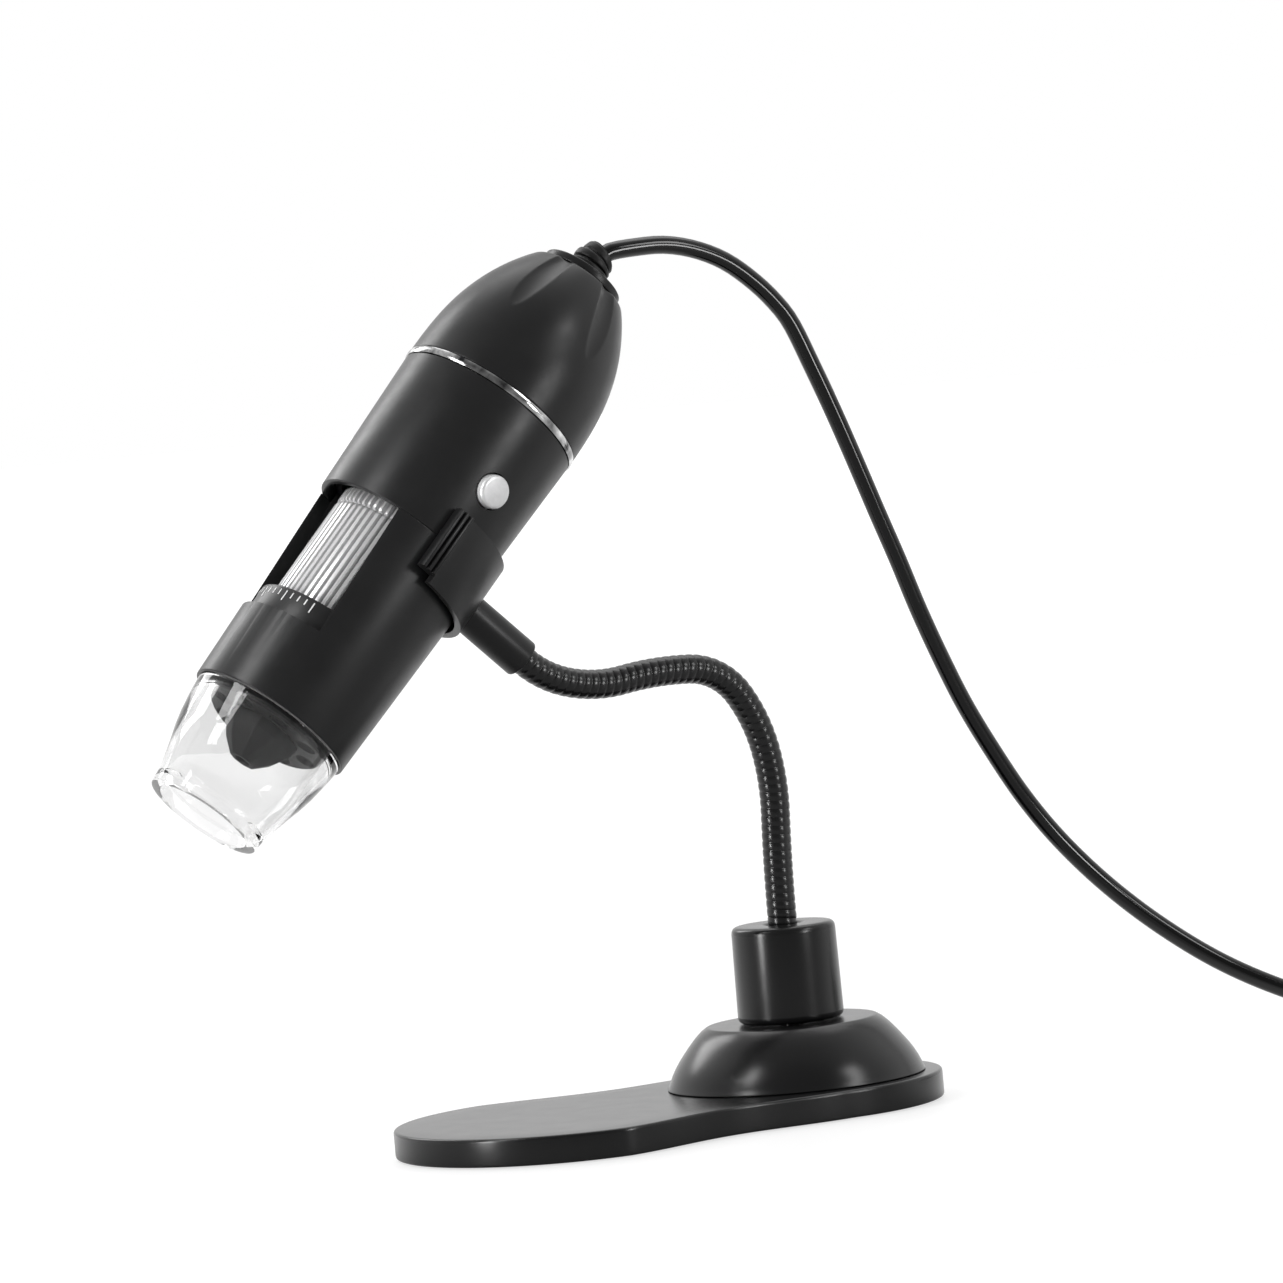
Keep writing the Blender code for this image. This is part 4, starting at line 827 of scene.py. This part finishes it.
def cable_line():
    """The cable's centre line from the strain relief to the plug, and the index where its coil starts."""
    _, bend_start, end = relief_stations()
    tip, angle = relief_point(end, bend_start, end)
    start = CLIP_FRAME @ tip
    heading = (CLIP_FRAME.to_3x3() @ Vector((math.sin(angle), 0, math.cos(angle)))).normalized()
    coil = coil_line()
    join = coil[0]
    route = [start, start + heading * CABLE / 2, *LEAD_ROUTE, join - Vector((CABLE, 0, 0)), join]
    lead = smooth_line(route, CABLE_STEP)
    return lead + coil[1:], len(lead) - 1


def usb_lead(line, axes, count):
    """The lead, in stretches."""
    for k, shares in enumerate(zip(LEAD_SHARES, LEAD_SHARES[1:])):
        first, last = [round(count * share) for share in shares]
        part = line[first:last + 1]
        thing = pipe(f"usb_lead_{k + 1}", part, axes[first:last + 1], CABLE / 2, "cable", CABLE_SIDES,
                     (False, False))
        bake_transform(thing)
        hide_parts("cable_lead")


def usb_coil(line, axes):
    thing = pipe("usb_cable", line, axes, CABLE / 2, "cable", CABLE_SIDES, (False, True))
    put(thing, HERE, "stand", "cable_coil")


def cable():
    line, join = cable_line()
    axes = frames(line)
    usb_lead(line, axes, join)
    usb_coil(line[join:], axes[join:])


# Gooseneck

def arc_point(length, turn, along):
    """Place and heading on a stretch that leaves along +z and turns towards -x."""
    angle = turn * along / length
    if abs(turn) < LEAST_TURN:
        return Vector((0, 0, along)), angle
    bend = length / turn
    return Vector((-bend * (1 - math.cos(angle)), 0, bend * math.sin(angle))), angle


def neck_line():
    """The gooseneck's centre line, with the index at which each stretch ends."""
    step = NECK_RIB / NECK_STEPS
    at = Matrix.Translation((0, 0, POST_TOP))
    line = [Vector((0, 0, POST_TOP - NECK_STUB + step * k)) for k in range(round(NECK_STUB / step))]
    ends = []
    for share, turn in zip(NECK_STRETCH_SHARES, NECK_TURNS):
        length = NECK_LENGTH * share
        turn = math.radians(turn)
        count = round(length / step)
        line += [at @ arc_point(length, turn, length * k / count)[0] for k in range(count)]
        ends.append(len(line))
        tip, angle = arc_point(length, turn, length)
        at = at @ Matrix.Translation(tip) @ Matrix.Rotation(-angle, 4, "Y")
    line += [at @ Vector((0, 0, step * k)) for k in range(round(NECK_STUB / step))]
    return line, ends


def gooseneck():
    """Six lengths of one wound tube, each bent across one of the neck's joints."""
    line, ends = neck_line()
    axes = frames(line)

    def wound(start):
        def radius(k, turn):
            share = ((start + k) / NECK_STEPS + turn / math.tau) % 1.0
            rise = math.sin(math.pi * share) ** NECK_RIB_POWER
            return NECK_VALLEY + (NECK_CREST - NECK_VALLEY) * rise
        return radius

    starts = [0] + [(one + two) // 2 for one, two in zip(ends, ends[1:-1])]
    stops = starts[1:] + [len(line) - 1]
    for k, (first, last) in enumerate(zip(starts, stops)):
        thing = pipe(f"neck_tube_{k + 1}", line[first:last + 1], axes[first:last + 1], wound(first), "neck",
                     NECK_SIDES, (k == 0, k == len(starts) - 1), angle=60.0)
        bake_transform(thing)
        names = [f"neck_{k + 1}"] + (["neck_7"] if k == len(starts) - 1 else [])
        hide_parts(*names)


# Stand

def plate_outline(inset):
    """Two round ends joined by straight sides that are drawn in slightly between them."""
    near = PLATE_NEAR_RADIUS - inset
    far = PLATE_FAR_RADIUS - inset
    touch = math.acos((near - far) / PLATE_REACH)
    steps = 36
    points = []
    for k in range(2 * steps + 1):
        angle = -touch + 2 * touch * k / (2 * steps)
        points.append((near * math.cos(angle), near * math.sin(angle)))
    sides = 24
    low_near = (near * math.cos(touch), near * math.sin(touch))
    low_far = (far * math.cos(touch) - PLATE_REACH, far * math.sin(touch))
    waist = []
    for k in range(1, sides):
        share = k / sides
        x = low_near[0] + (low_far[0] - low_near[0]) * share
        y = low_near[1] + (low_far[1] - low_near[1]) * share
        waist.append((x, y * (1 - PLATE_WAIST_SHARE * math.sin(math.pi * share) ** 2)))
    points += waist
    for k in range(2 * steps + 1):
        angle = touch + (math.tau - 2 * touch) * k / (2 * steps)
        points.append((far * math.cos(angle) - PLATE_REACH, far * math.sin(angle)))
    points += [(x, -y) for x, y in reversed(waist)]
    return points


def base_plate():
    """Its outline, set in and raised step by step along a rounded edge."""
    profile = [(PAD_INSET - GAP, PAD_PROUD), (0, PAD_PROUD), (0, PLATE_TOP), (2 * PAD_INSET, PLATE_TOP)]
    profile = rounded(profile, PLATE_EDGE, steps=5, closed=False)
    points = []
    for inset, height in profile:
        points += [(x, y, height) for x, y in plate_outline(inset)]
    count = len(points) // len(profile)
    faces = ring_faces(len(profile), count)
    faces += [tuple(range(count)), tuple(range(len(points) - count, len(points)))]
    thing = piece("plate", points, faces, "stand")
    put(thing, HERE, "stand", "base_plate")


def base_dome():
    low = PLATE_TOP + SEAM
    rise = DOME_TOP - low
    flare = DOME_RADIUS - DOME_TOP_RADIUS
    hole = POST_STUB_RADIUS + GAP
    outline = [(hole, DOME_TOP)]
    for share, high in DOME_SHARES:
        outline.append((DOME_TOP_RADIUS + flare * share, DOME_TOP - rise * (1 - high)))
    outline += [(DOME_RADIUS - DOME_WALL, low), (DOME_TOP_RADIUS - DOME_WALL, DOME_TOP - DOME_WALL),
                (hole, DOME_TOP - DOME_WALL)]
    thing = lathe("dome", rounded(outline, DOME_EDGE), "stand")
    put(thing, HERE, "stand", "base_dome")


def base_post():
    foot = DOME_TOP + SEAM
    bore = NECK_CREST + FIT
    outline = [(bore, POST_TOP - NECK_STUB), (bore, POST_TOP), (POST_TOP_RADIUS, POST_TOP),
               (POST_RADIUS, foot), (bore, foot)]
    thing = lathe("post", rounded(outline, POST_ROUNDING, steps=7), "stand")
    put(thing, HERE, "stand", "base_post")


# Clip

def clip_frame():
    """z runs towards the tail and x towards the clip's sleeve."""
    along = TAIL_HEADING.normalized()
    out = Vector((TAIL_HEADING.z, 0, -TAIL_HEADING.x)).normalized()
    turn = Matrix((out, along.cross(out), along)).transposed().to_4x4()
    return Matrix.Translation(RING_CENTRE) @ turn


def clip_outline():
    """An open ring about z with its back on +x and a ridged lip at each end."""
    steps = 120
    outer = CLIP_BORE + CLIP_THICKNESS
    first = CLIP_WRAP * CLIP_LIP_START_SHARE
    ridge = (CLIP_WRAP - first) / CLIP_RIDGES
    lip = [(first, outer)]
    for k in range(CLIP_RIDGES):
        for share, high in CLIP_RIDGE_SHARES:
            lip.append((first + ridge * (k + share), outer + high * CLIP_LIP_HEIGHT))
    lip.append((CLIP_WRAP, outer))
    points = [(-angle, radius) for angle, radius in reversed(lip)]
    for k in range(1, steps):
        points.append((-first + 2 * first * k / steps, outer))
    points += lip
    for k in range(steps + 1):
        points.append((CLIP_WRAP - 2 * CLIP_WRAP * k / steps, CLIP_BORE))
    return [(radius * math.cos(angle), radius * math.sin(angle)) for angle, radius in points]


def holder_clip():
    thing = prism("clip_ring", clip_outline(), -CLIP_TOP - CLIP_WIDTH, -CLIP_TOP, "body")
    depth = 2 * (CLIP_BORE + CLIP_THICKNESS + CLIP_LIP_HEIGHT)
    start = (CLIP_BORE + CLIP_THICKNESS) * math.cos(CLIP_WRAP * CLIP_LIP_START_SHARE)
    trim = box("trim", (CLIP_BORE, depth + OVERRUN, CLIP_LIP_CUT + OVERRUN),
               (start - CLIP_BORE / 2, 0, -CLIP_TOP - CLIP_WIDTH + (CLIP_LIP_CUT - OVERRUN) / 2), "body")
    cut(thing, trim)
    bevel(thing, CLIP_EDGE)
    put(thing, CLIP_FRAME, "clip", "holder_clip")


def arm_sleeve():
    start = CLIP_BORE + CLIP_THICKNESS - GAP
    end = start + GAP + SLEEVE_LENGTH
    bore = NECK_CREST + FIT
    outline = [(0, end - SLEEVE_BORE_DEPTH), (bore, end - SLEEVE_BORE_DEPTH), (bore, end),
               (SLEEVE_RADIUS, end), (SLEEVE_RADIUS, start), (0, start)]
    thing = lathe("sleeve", rounded(outline, SLEEVE_EDGE, closed=False), "body", MIDDLE, closed=False)
    turn = CLIP_FRAME @ Matrix.Translation((0, 0, -SLEEVE_PLACE)) @ Matrix.Rotation(math.pi / 2, 4, "Y")
    put(thing, turn, "clip", "arm_sleeve")


# Microscope

def tail_radius(height):
    fall = TAIL_ROOT_RADIUS - TAIL_END_RADIUS
    return TAIL_ROOT_RADIUS - fall * (max(height, 0) / TAIL_LENGTH) ** TAIL_POWER


def barrel_radius(depth):
    return BARREL_ROOT_RADIUS - (BARREL_ROOT_RADIUS - BARREL_RIM_RADIUS) * depth / BARREL_LENGTH


def flute_depth(height, turn):
    """How deep the grip flutes lie at a place on the tail: scoops that widen to its end."""
    low = TAIL_LENGTH * FLUTE_START_SHARE
    along = (height - low) / (TAIL_LENGTH - low)
    if along <= 0:
        return 0
    pitch = math.tau / FLUTE_COUNT
    off = (turn - FLUTE_PHASE + pitch / 2) % pitch - pitch / 2
    half = FLUTE_HALF_WIDTH * math.sqrt(1 - (1 - min(along, 1)) ** 2)
    across = abs(off) / half
    if across >= 1:
        return 0
    return FLUTE_DEPTH * along ** FLUTE_POWER * (1 - across ** 2)


def tail_housing():
    seat = RING_WIDTH / 2
    rows = []
    for k in range(TAIL_ROWS + 1):
        height = seat + (TAIL_LENGTH - 2 * TAIL_RIM - seat) * (1 - k / TAIL_ROWS)
        rows.append((tail_radius(height), height))
    hole = CAP_SPIGOT_RADIUS
    outline = [(hole, TAIL_LENGTH), (TAIL_END_RADIUS, TAIL_LENGTH)] + rows
    outline += [(UPPER_BORE, seat), (UPPER_BORE, -2 * seat), (UPPER_BORE - SPIGOT_WALL, -2 * seat),
                (hole, TAIL_LENGTH - TAIL_WALL)]

    def carve(radius, height, turn):
        if radius < tail_radius(height) - 2 * TAIL_RIM or height < seat:
            return radius
        return radius - flute_depth(height, turn)

    outline = rounded(outline, TAIL_RIM, steps=7)
    thing = lathe("tail_shell", outline, "body", TAIL_SIDES, angle=26.0, carve=carve)
    put(thing, SCOPE_FRAME, "scope", "tail_housing")


def tail_cap():
    low = TAIL_LENGTH
    hole = RELIEF_SHANK_RADIUS
    top = low + GAP + CAP_THICKNESS
    outline = [(hole, top), (CAP_RADIUS, top), (CAP_RADIUS, low + SEAM), (hole, low + SEAM)]
    thing = lathe("end_cap", rounded(outline, CAP_EDGE), "body", MIDDLE)
    put(thing, SCOPE_FRAME, "scope", "tail_cap")


def strain_relief():
    stations, bend_start, end = relief_stations()
    profile = rounded(stations, RELIEF_ROUNDING, closed=False)
    across = Vector((0, 1, 0))
    line = []
    axes = []
    for along, _ in profile:
        point, angle = relief_point(along, bend_start, end)
        heading = Vector((math.sin(angle), 0, math.cos(angle)))
        line.append(point)
        axes.append((heading, across, heading.cross(across)))
    thing = pipe("relief", line, axes, lambda k, turn: profile[k][1], "rubber", COARSE)
    thing.matrix_world = CLIP_FRAME
    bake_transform(thing)
    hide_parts("strain_relief")


def trim_ring():
    half = (RING_WIDTH - SEAM) / 2
    outline = [(UPPER_BORE, half), (RING_RADIUS - RING_BULGE, half), (RING_RADIUS, half / 2),
               (RING_RADIUS + RING_BULGE / 4, 0), (RING_RADIUS, -half / 2),
               (RING_RADIUS - RING_BULGE, -half), (UPPER_BORE, -half)]
    thing = lathe("trim_band", outline, "chrome", angle=60.0)
    put(thing, SCOPE_FRAME, "scope", "chrome_ring")


def upper_barrel():
    """The barrel down to where it splits, with a well for the button."""
    top = RING_WIDTH / 2
    outline = [(UPPER_BORE, -top), (barrel_radius(top), -top), (barrel_radius(BARREL_SPLIT), -BARREL_SPLIT),
               (UPPER_BORE, -BARREL_SPLIT)]
    thing = lathe("upper_shell", rounded(outline, BARREL_EDGE), "body")
    well = lathe("well", [(0, RING_RADIUS + OVERRUN), (BUTTON_RADIUS + GAP, RING_RADIUS + OVERRUN),
                          (BUTTON_RADIUS + GAP, UPPER_BORE - OVERRUN), (0, UPPER_BORE - OVERRUN)],
                 "body", MIDDLE, closed=False)
    well.matrix_world = BUTTON_FRAME
    cut(thing, well)
    put(thing, SCOPE_FRAME, "scope", "upper_barrel")


def cut_window(thing):
    """Cuts the focus window and, at its foot, the recess that the scale band lies in."""
    reach = BARREL_ROOT_RADIUS + OVERRUN
    tall = PARTITION_TOP - BARREL_SPLIT + OVERRUN
    window = box("window", (reach - WINDOW_DEPTH, 2 * WINDOW_HALF_WIDTH, tall),
                 (-(reach + WINDOW_DEPTH) / 2, 0, tall / 2 - PARTITION_TOP), "body")
    cut(thing, window)
    low = PARTITION_TOP + BAND_WIDTH
    recess = lathe("recess", [(BAND_FLOOR, -PARTITION_TOP + GAP), (reach, -PARTITION_TOP + GAP),
                              (reach, -low), (BAND_FLOOR, -low)], "body")
    limit = box("limit", (reach + OVERRUN, 2 * WINDOW_HALF_WIDTH, 3 * BAND_WIDTH),
                (-(reach + OVERRUN) / 2, 0, -PARTITION_TOP), "body")
    cut(recess, limit, "INTERSECT")
    cut(thing, recess)


def lower_barrel():
    """Below the split: a spigot, the wheel's window, a partition and the lamps' mouth."""
    seat = BARREL_SPLIT
    spigot = UPPER_BORE - GAP
    bore = spigot - SPIGOT_WALL
    top = seat - LOWER_SPIGOT_LENGTH
    outline = [(bore, -top), (spigot, -top), (spigot, -seat), (barrel_radius(seat), -seat),
               (BARREL_RIM_RADIUS, -BARREL_LENGTH), (RIM_BORE, -BARREL_LENGTH), (RIM_BORE, -LAMP_STEP),
               (LAMP_BORE, -LAMP_STEP), (LAMP_BORE, -PARTITION_BOTTOM),
               (PARTITION_BORE, -PARTITION_BOTTOM), (PARTITION_BORE, -PARTITION_TOP),
               (bore, -PARTITION_TOP)]
    thing = lathe("lower_shell", rounded(outline, BARREL_EDGE), "body")
    cut_window(thing)
    bevel(thing, WINDOW_EDGE, angle=50.0, segments=2)
    put(thing, SCOPE_FRAME, "scope", "lower_barrel")


def scale_band():
    low = -PARTITION_TOP - BAND_WIDTH + FIT
    outline = [(BAND_INNER, -PARTITION_TOP), (BAND_OUTER, -PARTITION_TOP), (BAND_OUTER, low),
               (BAND_INNER, low)]
    thing = lathe("band", rounded(outline, TICK_WIDTH), "band")
    limit = box("limit", (BAND_OUTER + OVERRUN, 2 * (WINDOW_HALF_WIDTH - FIT), 3 * BAND_WIDTH),
                (-(BAND_OUTER + OVERRUN) / 2, 0, -PARTITION_TOP - BAND_WIDTH / 2), "band")
    cut(thing, limit, "INTERSECT")
    put(thing, SCOPE_FRAME, "scope", "scale_band")


def scale_ticks():
    """A plain row of ticks on the band, every fourth of them long."""
    top = -PARTITION_TOP - 2 * GAP
    corners = ((0, 1, 3, 2), (4, 6, 7, 5), (0, 4, 5, 1), (2, 3, 7, 6), (0, 2, 6, 4), (1, 5, 7, 3))
    points = []
    faces = []
    for k in range(TICK_COUNT):
        length = TICK_LONG if k % TICK_LONG_EVERY == 0 else TICK_LENGTH
        about = Matrix.Rotation(math.pi + TICK_PITCH * (k - (TICK_COUNT - 1) / 2), 4, "Z")
        faces += [tuple(len(points) + corner for corner in face) for face in corners]
        for across in (-TICK_WIDTH / 2, TICK_WIDTH / 2):
            for out in (BAND_OUTER - TICK_HEIGHT, BAND_OUTER + TICK_HEIGHT):
                points += [about @ Vector((out, across, height)) for height in (top, top - length)]
    put(piece("scale_ticks", points, faces, "ink"), SCOPE_FRAME, "scope")


def focus_wheel():
    """Ribbed, with a ring groove near its top that leaves a comb of squares above it."""
    top = -BARREL_SPLIT + WHEEL_OVERLAP
    low = -PARTITION_TOP + FIT
    inner = CARRIAGE_RADIUS + GAP
    comb = -BARREL_SPLIT - WHEEL_COMB
    outline = [(inner, top), (WHEEL_RADIUS, top), (WHEEL_RADIUS, comb),
               (WHEEL_RADIUS - WHEEL_RING_DEPTH, comb - WHEEL_RING / 2), (WHEEL_RADIUS, comb - WHEEL_RING),
               (WHEEL_RADIUS, low), (inner, low)]

    def carve(radius, height, turn):
        if radius < WHEEL_RADIUS - 2 * WHEEL_EDGE:
            return radius
        share = (turn * WHEEL_RIDGES / math.tau) % 1.0
        away = min(share, 1 - share) / (WHEEL_COMB_SHARE if height > comb else WHEEL_GROOVE_SHARE)
        return radius - WHEEL_GROOVE_DEPTH * max(0, 1 - away ** 2)

    sides = WHEEL_RIDGES * WHEEL_STEPS
    thing = lathe("wheel_rim", rounded(outline, WHEEL_EDGE), "aluminium", sides, angle=50.0, carve=carve)
    put(thing, SCOPE_FRAME, "wheel", "focus_wheel")


def snap_button():
    out = barrel_radius(BUTTON_PLACE) + BUTTON_PROUD
    inner = BUTTON_FLANGE_OUT - BUTTON_FLANGE_THICKNESS
    outline = [(0, out), (BUTTON_RADIUS, out), (BUTTON_RADIUS, BUTTON_FLANGE_OUT),
               (BUTTON_FLANGE_RADIUS, BUTTON_FLANGE_OUT), (BUTTON_FLANGE_RADIUS, inner), (0, inner)]
    outline = rounded(outline, BUTTON_EDGE, closed=False)
    thing = lathe("button_cap", outline, "button", MIDDLE, closed=False)
    put(thing, SCOPE_FRAME @ BUTTON_FRAME, "button", "snap_button")


def nose_cone():
    start = LAMP_STEP + GAP + BOARD_THICKNESS + GAP
    shoulder = start + SHROUD_DEPTH
    post = SHROUD_BORE - GAP
    tip = shoulder + NOSE_LENGTH
    outline = [(NOSE_BORE, -start), (post, -start), (post, -shoulder)]
    outline += [(NOSE_FLANGE_RADIUS * wide, -shoulder - NOSE_LENGTH * share) for share, wide in NOSE_SHARES]
    outline += [(NOSE_TIP_RADIUS, -tip), (NOSE_TIP_BORE, -tip), (NOSE_TIP_BORE, -tip + GAP),
                (NOSE_BORE, -shoulder)]
    thing = lathe("nose", outline, "nose", NOSE_SIDES, angle=20.0)
    bevel(thing, NOSE_EDGE, angle=15.0, segments=2)
    put(thing, SCOPE_FRAME, "scope", "nose_cone")


def clear_snout():
    """A spigot in the barrel's mouth, a wall that narrows down, and a straight lip."""
    seat = BARREL_LENGTH + SEAM
    spigot = RIM_BORE - GAP
    bore = spigot - SNOUT_SPIGOT_WALL
    end = seat + SNOUT_LENGTH
    lip = SNOUT_LENGTH - SNOUT_LIP_LENGTH
    fall = SNOUT_RADIUS - SNOUT_LIP_RADIUS
    outline = [(bore, -seat + SNOUT_SPIGOT_LENGTH), (spigot, -seat + SNOUT_SPIGOT_LENGTH), (spigot, -seat)]
    wall = []
    for share, wide in SNOUT_WIDTH_SHARES:
        radius = SNOUT_LIP_RADIUS + fall * wide
        outline.append((radius, -seat - lip * share))
        wall.append((min(bore, radius - SNOUT_WALL), -seat - lip * share))
    outline += [(SNOUT_LIP_RADIUS, -end), (SNOUT_MOUTH_RADIUS, -end),
                (SNOUT_MOUTH_RADIUS, -end + SNOUT_MOUTH_LENGTH), *reversed(wall)]
    thing = lathe("clear_hood", rounded(outline, SNOUT_EDGE), "clear")
    put(thing, SCOPE_FRAME, "scope", "clear_snout")


# Nodes that keep their CAD shape

def finishes():
    kept = {"rubber": ["foot_pad", "plug_overmould"], "iron": ["base_weight"],
            "steel": ["base_screw", "plug_shell"], "board": ["sensor_board", "main_board", "led_board"],
            "chip": ["image_sensor", "button_switch", "plug_tongue"],
            "body": ["lens_carriage", "switch_plunger"], "nose": ["led_shroud"],
            "clear": ["objective_lens"], "lamp": [f"led_{k + 1}" for k in range(LAMP_COUNT)]}
    for look, names in kept.items():
        for name in names:
            for slot in frame["nodes"][name].material_slots:
                slot.material = LOOK[look]


CLIP_FRAME = clip_frame()
SCOPE_FRAME = CLIP_FRAME @ Matrix.Rotation(SCOPE_TWIST, 4, "Z")
LOOK = materials()
camera()
lights()
world()
floor()
bpy.context.scene.view_settings.view_transform = "Standard"
cable()
for make in (gooseneck, base_plate, base_dome, base_post, holder_clip, arm_sleeve, tail_housing, tail_cap,
             strain_relief, trim_ring, upper_barrel, lower_barrel, scale_band, scale_ticks, focus_wheel,
             snap_button, nose_cone, clear_snout, finishes):
    make()
